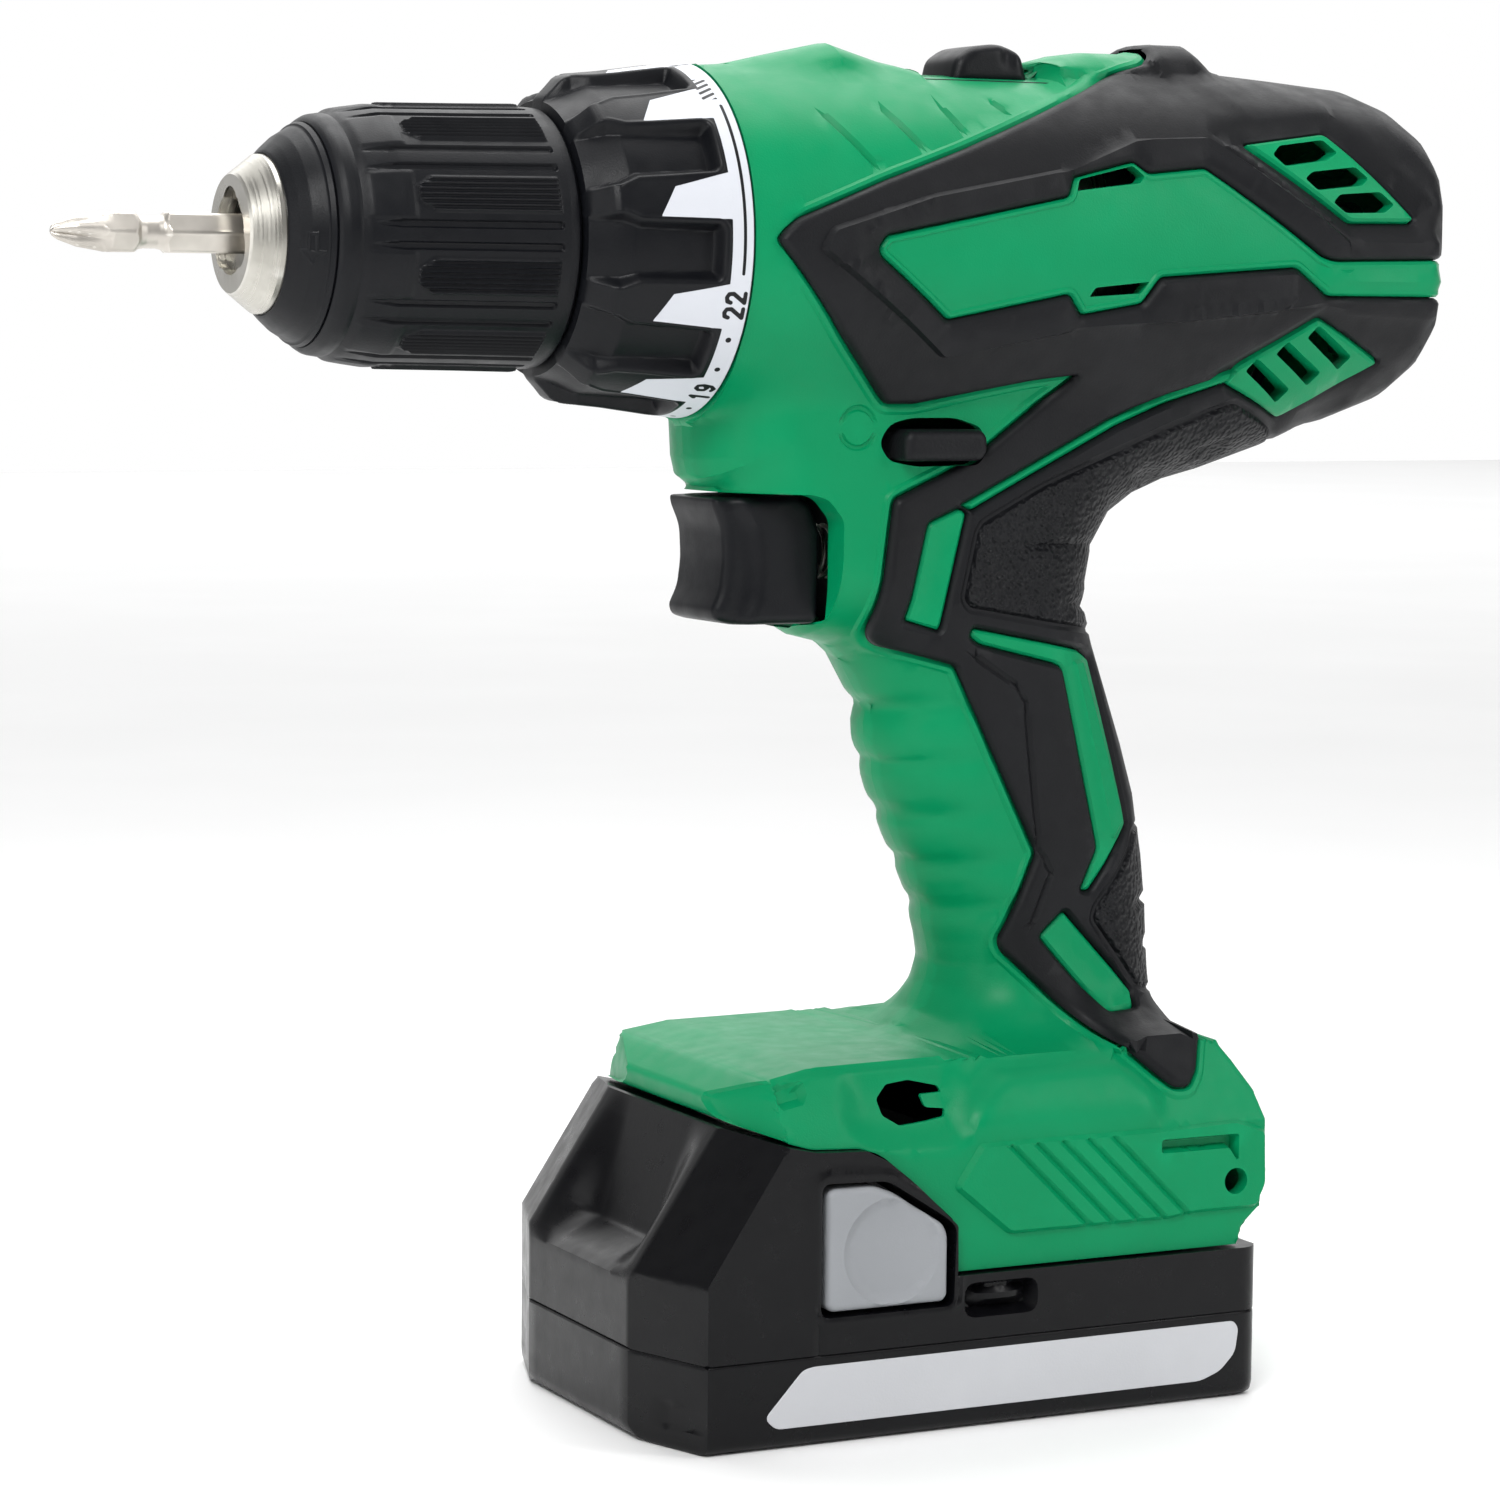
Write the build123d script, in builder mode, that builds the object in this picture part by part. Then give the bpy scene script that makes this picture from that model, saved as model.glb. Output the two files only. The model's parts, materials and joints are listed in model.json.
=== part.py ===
from build123d import *
import os
from math import acos, cos, pi, radians, sin, tan

# Cordless drill driver, millimetres. The battery's flat underside is Z = 0, the chuck points to -X,
# and Y = 0 is the joint between the two housing halves.

# ---- driving dimensions ----
spindle_z = 198.5
nose_x = -109.4
chuck_r = 21.6
sleeve_rear_x = -57.0
clutch_front_x, clutch_rear_x = -56.6, -30.1
clutch_r = 29.6
housing_front_x, housing_rear_x = -29.8, 115.6
barrel_r = 30.2
wall = 3.0
skin = 1.0
cavity_r = 27.2
case_r = 26.5
hex_bit = 6.35
bit_tip_x, bit_length = -139.2, 65.0
jaw_angle = 15.0
jaw_r = 3.5
motor_r = 22.0
pack_half_width = 38.5
pack_front_x, pack_rear_x = -47.7, 65.4
pack_seam_z = 15.15
pack_shelf_z = 26.4
side_seam_z = 26.7
tongue_half_width, tongue_top_z = 26.0, 40.0
rail_gap = 0.3
fit = 0.05
screw_sites = [(-20, 163), (52, 163), (107, 181), (107, 216), (30, 122), (42, 78), (-16, 57), (52, 47)]
screw_seat_y = 9.0
selector_way = 6.5
running_angles = [90, 210, 330]

os.makedirs("parts", exist_ok=True)
spindle = Axis((0, 0, spindle_z), (1, 0, 0))


# ---- shared shapes ----
def write(piece, node):
    piece.part.label = node
    export_step(piece.part, f"parts/{node}.step")


def turning(profile):
    """The face that is turned about the spindle axis, from (x, radius) points."""
    with BuildSketch(Plane.XZ) as section:
        with BuildLine():
            Polyline([(x, spindle_z + r) for x, r in profile], close=True)
        make_face()
    return section.sketch


def tube_face(x0, x1, inner, outer):
    return turning([(x0, inner), (x1, inner), (x1, outer), (x0, outer)])


def turned(profile, mode=Mode.ADD):
    revolve(turning(profile), axis=spindle, mode=mode)


def tube(x0, x1, inner, outer, mode=Mode.ADD):
    revolve(tube_face(x0, x1, inner, outer), axis=spindle, mode=mode)


def side_face(points):
    """A closed outline on the side view, from (x, z) points."""
    with BuildSketch(Plane.XZ) as section:
        with BuildLine():
            Polyline(points, close=True)
        make_face()
    return section.sketch


def slab(points, y0, y1, mode=Mode.ADD):
    """The side outline made solid from y0 to y1."""
    extrude(side_face(points).moved(Location((0, y1, 0))), y1 - y0, mode=mode)


def block(x0, x1, y0, y1, z0, z1, mode=Mode.ADD):
    with Locations(((x0 + x1) / 2, (y0 + y1) / 2, (z0 + z1) / 2)):
        Box(x1 - x0, y1 - y0, z1 - z0, mode=mode)


def cross_pin(x, z, r, y0, y1, mode=Mode.ADD):
    """A cylinder that runs along Y."""
    with Locations(Location((x, (y0 + y1) / 2, z), (90, 0, 0))):
        Cylinder(r, y1 - y0, mode=mode)


def axle(x0, x1, r, out=0.0, angle=0.0, mode=Mode.ADD):
    """A cylinder along X, its axis `out` from the spindle axis at `angle` degrees about it."""
    y, z = out * cos(radians(angle)), spindle_z + out * sin(radians(angle))
    with Locations(Location(((x0 + x1) / 2, y, z), (0, 90, 0))):
        Cylinder(r, x1 - x0, mode=mode)


# ---- gears: involute flanks with 20 degree pressure angle and a little backlash ----
def roll(angle):
    return tan(angle) - angle


def tooth_half_angle(teeth, module, r, slack):
    pitch_r, pressure = module * teeth / 2, radians(20)
    base_r = pitch_r * cos(pressure)
    at_r = acos(base_r / r) if r > base_r else 0.0
    return pi / (2 * teeth) - slack / pitch_r + roll(pressure) - roll(at_r)


def gear_points(teeth, module, low_r, high_r, phase, slack):
    """Points around a gear whose first tooth is centred `phase` degrees from +Y towards +Z."""
    points, levels = [], [low_r + (high_r - low_r) * k / 3 for k in range(4)]
    for tooth in range(teeth):
        centre = radians(phase) + 2 * pi * tooth / teeth
        half = [tooth_half_angle(teeth, module, r, slack) for r in levels]
        points += [(r * cos(centre - h), r * sin(centre - h)) for r, h in zip(levels, half)]
        points += [(r * cos(centre + h), r * sin(centre + h)) for r, h in reversed(list(zip(levels, half)))]
    return points


def gear_face(teeth, module, low_r, high_r, phase, slack, x, centre=(0, 0)):
    """The gear's face on the plane across the spindle at x."""
    across = Plane(origin=(x, centre[0], spindle_z + centre[1]), x_dir=(0, 1, 0), z_dir=(1, 0, 0))
    with BuildSketch(across) as face:
        with BuildLine():
            Polyline(gear_points(teeth, module, low_r, high_r, phase, slack), close=True)
        make_face()
    return face.sketch


def outer_teeth(teeth, module, phase, x0, x1, centre=(0, 0)):
    pitch_r = module * teeth / 2
    extrude(gear_face(teeth, module, pitch_r - 1.15 * module, pitch_r + 0.85 * module, phase, 0.06, x0,
                      centre), x1 - x0)


def inner_teeth(teeth, module, phase, x0, x1):
    """Cuts the spaces of a ring gear, the first centred at `phase`."""
    pitch_r = module * teeth / 2
    extrude(gear_face(teeth, module, pitch_r - 0.85 * module, pitch_r + 1.15 * module, phase, -0.06, x0),
            x1 - x0, mode=Mode.SUBTRACT)


first_module, first_sun, first_planet, first_ring = 0.8, 12, 15, 42
last_module, last_sun, last_planet, last_ring = 0.9, 12, 12, 36
planet_out = first_module * (first_sun + first_planet) / 2

# ---- bit: double-ended hex with a ball groove and a cross point ----
with BuildPart() as screwdriver_bit:
    with BuildSketch(Plane(origin=(bit_tip_x + 8, 0, spindle_z), x_dir=(0, 1, 0), z_dir=(1, 0, 0))):
        RegularPolygon(hex_bit / 2, 6, major_radius=False)
    extrude(amount=bit_length - 8)
    turned([(bit_tip_x, 0), (bit_tip_x, 0.9), (bit_tip_x + 4, 2.6), (bit_tip_x + 8, 3.1), (bit_tip_x + 8, 0)])
    tube(bit_tip_x + 14.2, bit_tip_x + 18.2, 2.6, 4, mode=Mode.SUBTRACT)
    for turn in range(4):
        with Locations(Location((bit_tip_x + 3.2, 0, spindle_z), (45 + 90 * turn, 0, 0))):
            with Locations((0, 1.9, 1.9)):
                Box(8, 2, 2, mode=Mode.SUBTRACT)
write(screwdriver_bit, "screwdriver_bit")

# ---- chuck ----
jaw_tip_x, jaw_tail_x = -106.6, -86.0
jaw_tip_out = 4.7
jaw_lean = tan(radians(jaw_angle))


def jaw_plane(angle):
    """Where a jaw's axis passes the jaw's tip, with local Z back along the jaw and local X outward."""
    a, lean = radians(angle), radians(jaw_angle)
    outward = Vector(-sin(lean), cos(lean) * cos(a), cos(lean) * sin(a))
    backward = Vector(cos(lean), sin(lean) * cos(a), sin(lean) * sin(a))
    origin = (jaw_tip_x, jaw_tip_out * cos(a), spindle_z + jaw_tip_out * sin(a))
    return Plane(origin=origin, x_dir=outward, z_dir=backward)


with BuildPart() as chuck_body:
    turned([(nose_x, 6.6), (nose_x, 9.5), (nose_x + 0.4, 9.9), (-105.2, 12.8), (-90, 12.8), (-89, 13.5),
            (-76.4, 13.5), (-76.4, 19.2), (-73.2, 19.2), (-73.2, 15), (-57.4, 15), (-57.4, 6.35),
            (-68.4, 6.35), (-68.4, 3.05), (-70, 3.05), (-70, 6.6)])
    for angle in running_angles:
        with BuildSketch(jaw_plane(angle).offset(-8)) as way:
            Circle(jaw_r + fit)
        extrude(way.sketch, 52, mode=Mode.SUBTRACT)
write(chuck_body, "chuck_body")

for number, angle in enumerate(running_angles, 1):
    with BuildPart() as chuck_jaw:
        with BuildSketch(jaw_plane(angle)):
            Circle(jaw_r)
        extrude(amount=(jaw_tail_x - jaw_tip_x) / cos(radians(jaw_angle)))
        a = radians(angle)
        across = Plane(origin=(jaw_tip_x - 10, 0, spindle_z), x_dir=(0, cos(a), sin(a)), z_dir=(1, 0, 0))
        with BuildSketch(across):
            with Locations((hex_bit / 2 + 0.05 - 10, 0)):
                Rectangle(20, 20)
        extrude(amount=40, mode=Mode.SUBTRACT)
    write(chuck_jaw, f"chuck_jaw_{number}")

nut_front_x, nut_rear_x = -87.0, -80.2
nut_bore = jaw_tip_out + jaw_r / cos(radians(jaw_angle)) + 0.12
with BuildPart() as chuck_nut:
    turned([(nut_front_x, nut_bore + (nut_front_x - jaw_tip_x) * jaw_lean),
            (nut_rear_x, nut_bore + (nut_rear_x - jaw_tip_x) * jaw_lean), (nut_rear_x, 19.6),
            (nut_front_x, 19.6)])
write(chuck_nut, "chuck_nut")

with BuildPart() as chuck_thrust_balls:
    for ball in range(12):
        angle = radians(30 * ball)
        with Locations((-78.3, 18.15 * cos(angle), spindle_z + 18.15 * sin(angle))):
            Sphere(1.1)
write(chuck_thrust_balls, "chuck_thrust_balls")

with BuildPart() as chuck_sleeve:
    turned([(-97.6, 14.2), (-97.6, 18.8), (-96.4, 19.5), (-94, 19.8), (-90.6, 20.4), (-87.1, 21),
            (-71, 21.35), (sleeve_rear_x, chuck_r), (sleeve_rear_x, 15.08), (-60, 15.08), (-60, 19.6),
            (-88, 19.6), (-90, 16.8), (-94, 14.2)])
    for panel in range(10):
        for rib in range(-2, 3):
            axle(-86, -70, 0.35, 21.35, 36 * panel + 4.2 * rib)
write(chuck_sleeve, "chuck_sleeve")

with BuildPart() as chuck_front_cap:
    turned([(-106.8, 12.88), (-106.8, 13.6), (-104.3, 15.2), (-100.9, 17.1), (-97.6, 18.5), (-97.6, 12.88)])
write(chuck_front_cap, "chuck_front_cap")

with BuildPart() as chuck_screw:
    turned([(-73, 2), (-73, 4.8), (-70, 4.8), (-70, 3), (-54, 3), (-54, 0), (-71, 0), (-71, 2)])
write(chuck_screw, "chuck_screw")

# ---- output shaft and its bearing ----
with BuildPart() as output_spindle:
    turned([(-68.2, 3.05), (-68.2, 6.3), (-57, 6.3), (-57, 8), (-54.8, 8), (-54.8, 6), (-36.5, 6),
            (-36.5, 0), (-53.5, 0), (-53.5, 3.05)])
    with BuildSketch(Plane(origin=(-36.5, 0, spindle_z), x_dir=(0, 1, 0), z_dir=(1, 0, 0))):
        RegularPolygon(5, 6, major_radius=False)
    extrude(amount=5)
write(output_spindle, "output_spindle")

with BuildPart() as spindle_bearing:
    tube(-54, -46, 6.05, 8)
    tube(-54, -46, 10.6, 13)
    for ball in range(9):
        angle = radians(40 * ball)
        with Locations((-50, 9.3 * cos(angle), spindle_z + 9.3 * sin(angle))):
            Sphere(1.6)
write(spindle_bearing, "spindle_bearing")

# ---- gearbox ----
with BuildPart() as gear_case:
    turned([(-54.2, 13), (-54.2, 17), (-36, 17), (-36, 21.4), (-29.6, 21.4), (-29.6, case_r), (-1, case_r),
            (-1, 23), (-28.2, 23), (-28.2, 17.3), (-30.9, 17.3), (-30.9, 14.7), (-36.4, 14.7), (-36.4, 9),
            (-46, 9), (-46, 13)])
    for hole in range(6):
        axle(-36.1, -28.1, 1.6, 19.25, 60 * hole, mode=Mode.SUBTRACT)
    block(-19, 0, -4, 4, spindle_z + 22, spindle_z + 28, mode=Mode.SUBTRACT)
write(gear_case, "gear_case")

with BuildPart() as ring_gear_output:
    tube(-28.1, -21.8, 12, 22.9)
    inner_teeth(last_ring, last_module, running_angles[0] + 180 / last_ring, -28.1, -21.8)
write(ring_gear_output, "ring_gear_output")

with BuildPart() as carrier_output:
    tube(-36.2, -31.5, 0, 14.3)
    with BuildSketch(Plane(origin=(-36.2, 0, spindle_z), x_dir=(0, 1, 0), z_dir=(1, 0, 0))):
        RegularPolygon(5.04, 6, major_radius=False)
    extrude(amount=4.7, mode=Mode.SUBTRACT)
    for angle in running_angles:
        axle(-31.6, -22.2, 1.9, planet_out, angle)
write(carrier_output, "carrier_output")

with BuildPart() as carrier_input:
    tube(-21.4, -18.4, 2.5, 14)
    outer_teeth(last_sun, last_module, running_angles[0], -30.2, -21.4)
    tube(-31, -18, 0, 2.5, mode=Mode.SUBTRACT)
    for angle in running_angles:
        axle(-18.5, -8.6, 1.9, planet_out, angle)
write(carrier_input, "carrier_input")

stages = [("output", last_planet, last_module, -30.4, -22.4, 180 / last_planet),
          ("input", first_planet, first_module, -17.8, -8.8, 0)]
for stage, teeth, module, x0, x1, phase in stages:
    for number, angle in enumerate(running_angles, 1):
        centre = (planet_out * cos(radians(angle)), planet_out * sin(radians(angle)))
        with BuildPart() as planet:
            outer_teeth(teeth, module, angle + phase, x0, x1, centre)
            axle(x0 - 1, x1 + 1, 1.95, planet_out, angle, mode=Mode.SUBTRACT)
        write(planet, f"planet_{stage}_{number}")

with BuildPart() as ring_gear_input:
    tube(-13, -6, 12, 20.6)
    inner_teeth(first_ring, first_module, running_angles[0], -13, -6)
    tube(-10.6, -8.4, 19.4, 21, mode=Mode.SUBTRACT)
write(ring_gear_input, "ring_gear_input")

with BuildPart() as motor_plate:
    turned([(-1, 9.2), (-1, case_r), (3, case_r), (3, 6.55), (1.6, 6.55), (1.6, 9.2)])
    block(-2, 4, -selector_way, selector_way, spindle_z + 22, spindle_z + 28, mode=Mode.SUBTRACT)
write(motor_plate, "motor_plate")

# ---- clutch ----
with BuildPart() as clutch_ring:
    turned([(clutch_front_x, 17.3), (clutch_front_x, 23.3), (-54.5, 25), (-53.2, 26.4), (-51.8, 27),
            (-44.5, 27.7), (-38, 28.5), (-38, 27.6), (clutch_rear_x, 27.6), (clutch_rear_x, 22), (-54.8, 22),
            (-54.8, 17.3)])
    for recess in range(10):
        axle(-60, -41, 2.8, 28.6, 36 * recess, mode=Mode.SUBTRACT)
write(clutch_ring, "clutch_ring")

with BuildPart() as torque_scale_band:
    turned([(-38, 27.6), (-38, 28.6), (-37.2, 28.8), (clutch_rear_x, clutch_r), (clutch_rear_x, 27.6)])
write(torque_scale_band, "torque_scale_band")

with BuildPart() as clutch_nut:
    tube(-52.4, -49.6, 17.3, 21.7)
write(clutch_nut, "clutch_nut")

spring_wire, spring_mean_r, spring_front_x, spring_rear_x = 1.1, 19.4, -48.3, -38.8
with BuildPart() as clutch_spring:
    with BuildLine():
        coil = Helix(2.4, spring_rear_x - spring_front_x, spring_mean_r, center=(spring_front_x, 0, spindle_z),
                     direction=(1, 0, 0))
    with BuildSketch(Plane(origin=coil @ 0, z_dir=coil % 0)):
        Circle(spring_wire)
    sweep(is_frenet=True)
write(clutch_spring, "clutch_spring")

with BuildPart() as clutch_balls_and_washer:
    tube(-37.6, -36.15, 17.1, 21.4)
    for ball in range(18):
        angle, x = radians(60 * (ball % 6)), (-29.5, -32.2, -34.9)[ball // 6]
        with Locations((x, 19.25 * cos(angle), spindle_z + 19.25 * sin(angle))):
            Sphere(1.3)
write(clutch_balls_and_washer, "clutch_balls_and_washer")

# ---- motor ----
with BuildPart() as motor_shaft:
    tube(-6, 106, 0, 2.5)
write(motor_shaft, "motor_shaft")

with BuildPart() as motor_pinion:
    outer_teeth(first_sun, first_module, running_angles[0], -17.8, -5)
    tube(-6, -5, 0, 2.5, mode=Mode.SUBTRACT)
write(motor_pinion, "motor_pinion")

with BuildPart() as cooling_fan:
    tube(5.5, 13, 2.5, 6)
    tube(12, 13.2, 5, 20)
    for blade in range(14):
        with Locations(Location((9.4, 0, spindle_z), (360 / 14 * blade, 0, 0))):
            with Locations((0, 0, 13)):
                Box(6.4, 1, 13.6)
write(cooling_fan, "cooling_fan")

with BuildPart() as armature:
    tube(19, 55, 2.5, 14.6)
    for slot in range(12):
        axle(18, 56, 1.3, 14, 30 * slot, mode=Mode.SUBTRACT)
    tube(16, 19, 2.5, 11.5)
    tube(55, 60, 2.5, 11.5)
write(armature, "armature")

with BuildPart() as commutator:
    tube(66, 78, 2.5, 8)
    for slot in range(12):
        with Locations(Location((72, 0, spindle_z), (30 * slot + 15, 0, 0))):
            with Locations((0, 0, 8)):
                Box(14, 0.5, 1, mode=Mode.SUBTRACT)
write(commutator, "commutator")

with BuildPart() as motor_yoke:
    tube(15, 61, 19.6, motor_r)
    tube(61, 63, 13, motor_r)
write(motor_yoke, "motor_yoke")

with BuildPart() as field_magnets:
    tube(16, 58, 15.1, 19.6)
    for side in (-1, 1):
        block(15, 59, -21, 21, spindle_z - 3.5, spindle_z + 3.5, mode=Mode.SUBTRACT)
write(field_magnets, "field_magnets")

with BuildPart() as brush_holder:
    tube(63, 66, 13, 21)
    for side in (-1, 1):
        block(66, 79, min(side * 9.4, side * 20), max(side * 9.4, side * 20), spindle_z - 5.2, spindle_z + 5.2)
        block(65.9, 80, min(side * 8, side * 21), max(side * 8, side * 21), spindle_z - 3.1, spindle_z + 3.1,
              mode=Mode.SUBTRACT)
write(brush_holder, "brush_holder")

with BuildPart() as carbon_brushes:
    for side in (-1, 1):
        block(67, 77, min(side * 8.3, side * 17), max(side * 8.3, side * 17), spindle_z - 3.05, spindle_z + 3.05)
write(carbon_brushes, "carbon_brushes")

with BuildPart() as motor_bearings:
    tube(-0.9, 1.6, 2.55, 9.2)
    tube(98, 104, 2.55, 9)
write(motor_bearings, "motor_bearings")


# ---- housing: barrel, neck, handle and foot ----
barrel_profile = [(housing_front_x, 29.9), (-20, 30.2), (-5, barrel_r), (88, barrel_r), (100, 29.4)]
neck_outline = [(-29.8, 180), (-29.8, 168), (-28.6, 158.2), (-26.5, 156.6), (-8, 156.4), (-8, 150), (44, 150),
                (50, 152.5), (62, 157.5), (84, 163), (100, 167.6), (104, 176), (60, 190), (0, 190)]
crest_outline = [(-24, 225), (-22.4, 228.3), (-3.8, 233), (10.5, 228.9), (19.7, 229.2), (33, 230.5), (45, 233.9),
                 (64.9, 234), (72.9, 228.8), (97, 226.7), (97, 220), (-20, 220)]
# (z, front x, rear x, half width) down the handle
handle_stations = [(60, 12, 63, 19), (70, 18, 59.5, 17), (82, 17, 59.3, 16.5), (95, 11.2, 57.6, 16.5),
                   (108, 6.8, 54.6, 17), (120, 4.6, 50.2, 17.5), (130, -4, 47, 18), (136, -10, 45.8, 18),
                   (152, -9, 52, 18.5)]


def handle(grow, mode=Mode.ADD):
    """The handle, lofted through its stations and grown by `grow` all round."""
    faces = []
    for z, front, rear, half in handle_stations:
        with BuildSketch(Plane.XY.offset(z)) as station:
            with Locations(((front + rear) / 2, 0)):
                RectangleRounded(rear - front + 2 * grow, 2 * (half + grow), 0.62 * half + grow)
        faces.append(station.sketch)
    loft(faces, mode=mode)


def barrel(grow, mode=Mode.ADD):
    """The barrel with its rounded rear end, grown by `grow`."""
    end, corner = housing_rear_x + grow, 15
    with BuildSketch(Plane.XZ) as section:
        with BuildLine():
            Polyline([(housing_front_x, spindle_z)] + [(x, spindle_z + r + grow) for x, r in barrel_profile])
            ThreePointArc((100, spindle_z + 29.4 + grow),
                          (end - corner * 0.3, spindle_z + 29.4 + grow - corner * 0.36),
                          (end, spindle_z + 14 + grow))
            Polyline((end, spindle_z + 14 + grow), (end, spindle_z), (housing_front_x, spindle_z))
        make_face()
    revolve(section.sketch, axis=spindle, mode=mode)


foot_side = [(5.2, side_seam_z), (5.2, 35.3), (-3, 42.8), (-8.6, 47.3), (-12.4, 49.2), (-21.6, 49.6), (-31, 52.4),
             (-32, 56), (-18, 61.5), (50, 61.5), (60, 54), (66.3, 47.5), (67.3, 36.8), (66.1, 32.5), (62.5, 29.3),
             (62, side_seam_z)]
foot_front = [(-pack_half_width, side_seam_z), (-pack_half_width, 49), (-29, 61.5), (29, 61.5),
              (pack_half_width, 49), (pack_half_width, side_seam_z)]


def foot():
    """The wide foot that the battery slides into: its side outline cut to its outline from the front."""
    with BuildPart() as piece:
        slab(foot_side, -pack_half_width, pack_half_width)
        with BuildSketch(Plane.YZ.offset(-60)) as front:
            with BuildLine():
                Polyline(foot_front, close=True)
            make_face()
        extrude(front.sketch, 140, mode=Mode.INTERSECT)
        with BuildSketch(Plane.XY) as plan:
            with BuildLine():
                Polyline([(-32, -18), (-26.5, -40), (68, -40), (68, 40), (-26.5, 40), (-32, 18)], close=True)
            make_face()
        extrude(plan.sketch, 100, mode=Mode.INTERSECT)
    return piece.part


def grip_cavity():
    """The hollow inside the handle and neck."""
    with BuildPart() as hollow:
        handle(-wall)
        block(-60, 120, -40, 40, 0, 57, mode=Mode.SUBTRACT)
        slab([(-26.5, 185), (-26.5, 160.5), (-5.5, 160.5), (-5.5, 148), (40, 148), (47, 154.5), (60, 160),
              (84, 166.5), (96, 175), (60, 190)], -15.5, 15.5)
    return hollow.part


with BuildPart() as shell:
    barrel(0)
    handle(0)
    slab(neck_outline, -18.5, 18.5)
    slab(crest_outline, -9, 9)
    add(foot())
    # Hollows: barrel, handle, foot and the bay for the battery's tongue.
    turned([(housing_front_x, 0), (housing_front_x, cavity_r), (96, cavity_r - 0.6), (110, 17), (112.6, 12),
            (112.6, 0)], mode=Mode.SUBTRACT)
    add(grip_cavity(), mode=Mode.SUBTRACT)
    block(-12, 48, -24, 24, 42.8, 58.5, mode=Mode.SUBTRACT)
    block(20, 48, -12, 12, 58, 61, mode=Mode.SUBTRACT)
    block(-60, 57.4, -26.3, 26.3, 20, tongue_top_z + rail_gap, mode=Mode.SUBTRACT)
    block(10, 57.4, -22, 22, 40, 43, mode=Mode.SUBTRACT)
    # Trigger mouth, lever slot, speed-knob slot and its pocket.
    block(-40, 2, -11.4, 11.4, 133.8, 156.2, mode=Mode.SUBTRACT)
    block(1, 19.2, -30, 30, 161.2, 168.2, mode=Mode.SUBTRACT)
    block(0.2, 46, -10.4, 10.4, 222, 227, mode=Mode.SUBTRACT)
    block(12, 36.2, -7.4, 7.4, 220, 240, mode=Mode.SUBTRACT)
    # Screw towers on the joint plane.
    for x, z in screw_sites:
        cross_pin(x, z, 4.4, -16, 16)
    # Bearing seat at the rear, strap hole, accessory sockets and cooling slots.
    tube(98, 113, 9, 11.5)
    cross_pin(60, 38, 2.3, -50, 50, mode=Mode.SUBTRACT)
    for side in (-1, 1):
        block(-9, 2, min(side * 30.5, side * 40), max(side * 30.5, side * 40), 53, 60, mode=Mode.SUBTRACT)
        for slot in range(3):
            for z in (177, 209):
                block(70 + 6 * slot, 73 + 6 * slot, min(side * 15, side * 40), max(side * 15, side * 40), z, z + 8,
                      mode=Mode.SUBTRACT)
    for x, z in screw_sites:
        cross_pin(x, z, 3.4, screw_seat_y + 3, 60, mode=Mode.SUBTRACT)
        cross_pin(x, z, 1.5, -9, screw_seat_y, mode=Mode.SUBTRACT)
        cross_pin(x, z, 3.05, screw_seat_y, screw_seat_y + 3, mode=Mode.SUBTRACT)

for node, keep in (("housing_left", -60), ("housing_right", 0)):
    with BuildPart() as half:
        add(shell.part)
        block(-100, 150, keep, keep + 60, -10, 250, mode=Mode.INTERSECT)
    write(half, node)

with BuildPart() as housing_screws:
    for x, z in screw_sites:
        cross_pin(x, z, 1.5, -8, screw_seat_y)
        cross_pin(x, z, 3, screw_seat_y, screw_seat_y + 2.4)
        cross_pin(x, z, 0.9, screw_seat_y + 1, screw_seat_y + 3, mode=Mode.SUBTRACT)
write(housing_screws, "housing_screws")

# ---- rubber skins: the grown body inside the side outline of the soft grip ----
grip_outline = [(-26.5, 199), (-12, 206), (0, 210), (20, 218.5), (40, 222), (60, 240), (125, 240), (125, 160),
                (84, 150), (70, 40), (64, 48), (45, 62), (23, 78), (30, 94), (15, 125), (3, 129.5), (-4, 133.5),
                (1, 147), (3, 157), (34, 176.5), (3, 170.5), (-10, 180), (-20, 190)]
with BuildPart() as skin_body:
    barrel(skin)
    handle(skin)
    slab([(x, z - skin if z < 175 else z) for x, z in neck_outline], -18.5 - skin, 18.5 + skin)
    slab(grip_outline, -50, 50, mode=Mode.INTERSECT)
    block(-100, 150, -50, 50, 63, 250, mode=Mode.INTERSECT)
    barrel(0, mode=Mode.SUBTRACT)
    handle(0, mode=Mode.SUBTRACT)
    slab(neck_outline, -18.5, 18.5, mode=Mode.SUBTRACT)
    slab(crest_outline, -9, 9, mode=Mode.SUBTRACT)
    block(-1, 21, -30, 30, 159, 170, mode=Mode.SUBTRACT)
    for side in (-1, 1):
        for slot in range(3):
            for z in (177, 209):
                block(70 + 6 * slot, 73 + 6 * slot, min(side * 15, side * 40), max(side * 15, side * 40), z, z + 8,
                      mode=Mode.SUBTRACT)
    for x, z in screw_sites:
        cross_pin(x, z, 3.4, screw_seat_y + 3, 60, mode=Mode.SUBTRACT)
for node, keep in (("grip_skin_left", -60), ("grip_skin_right", 0)):
    with BuildPart() as half:
        add(skin_body.part)
        block(-100, 150, keep, keep + 60, -10, 250, mode=Mode.INTERSECT)
    write(half, node)

# ---- speed selector ----
with BuildPart() as speed_selector:
    block(6.5, 41, -9, 9, 224.4, 226.6)
    slab([(18.5, 226), (19.5, 230.4), (22.6, 232.4), (26.5, 233), (29.5, 232.9), (32.5, 231.2), (34, 226)], -6.8, 6.8)
write(speed_selector, "speed_selector")

with BuildPart() as shift_fork:
    block(-10.4, 8, -2.5, 2.5, 222.4, 224.4)
    block(-10.4, -8.6, -2.5, 2.5, spindle_z + 19.7, 223)
write(shift_fork, "shift_fork")

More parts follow.
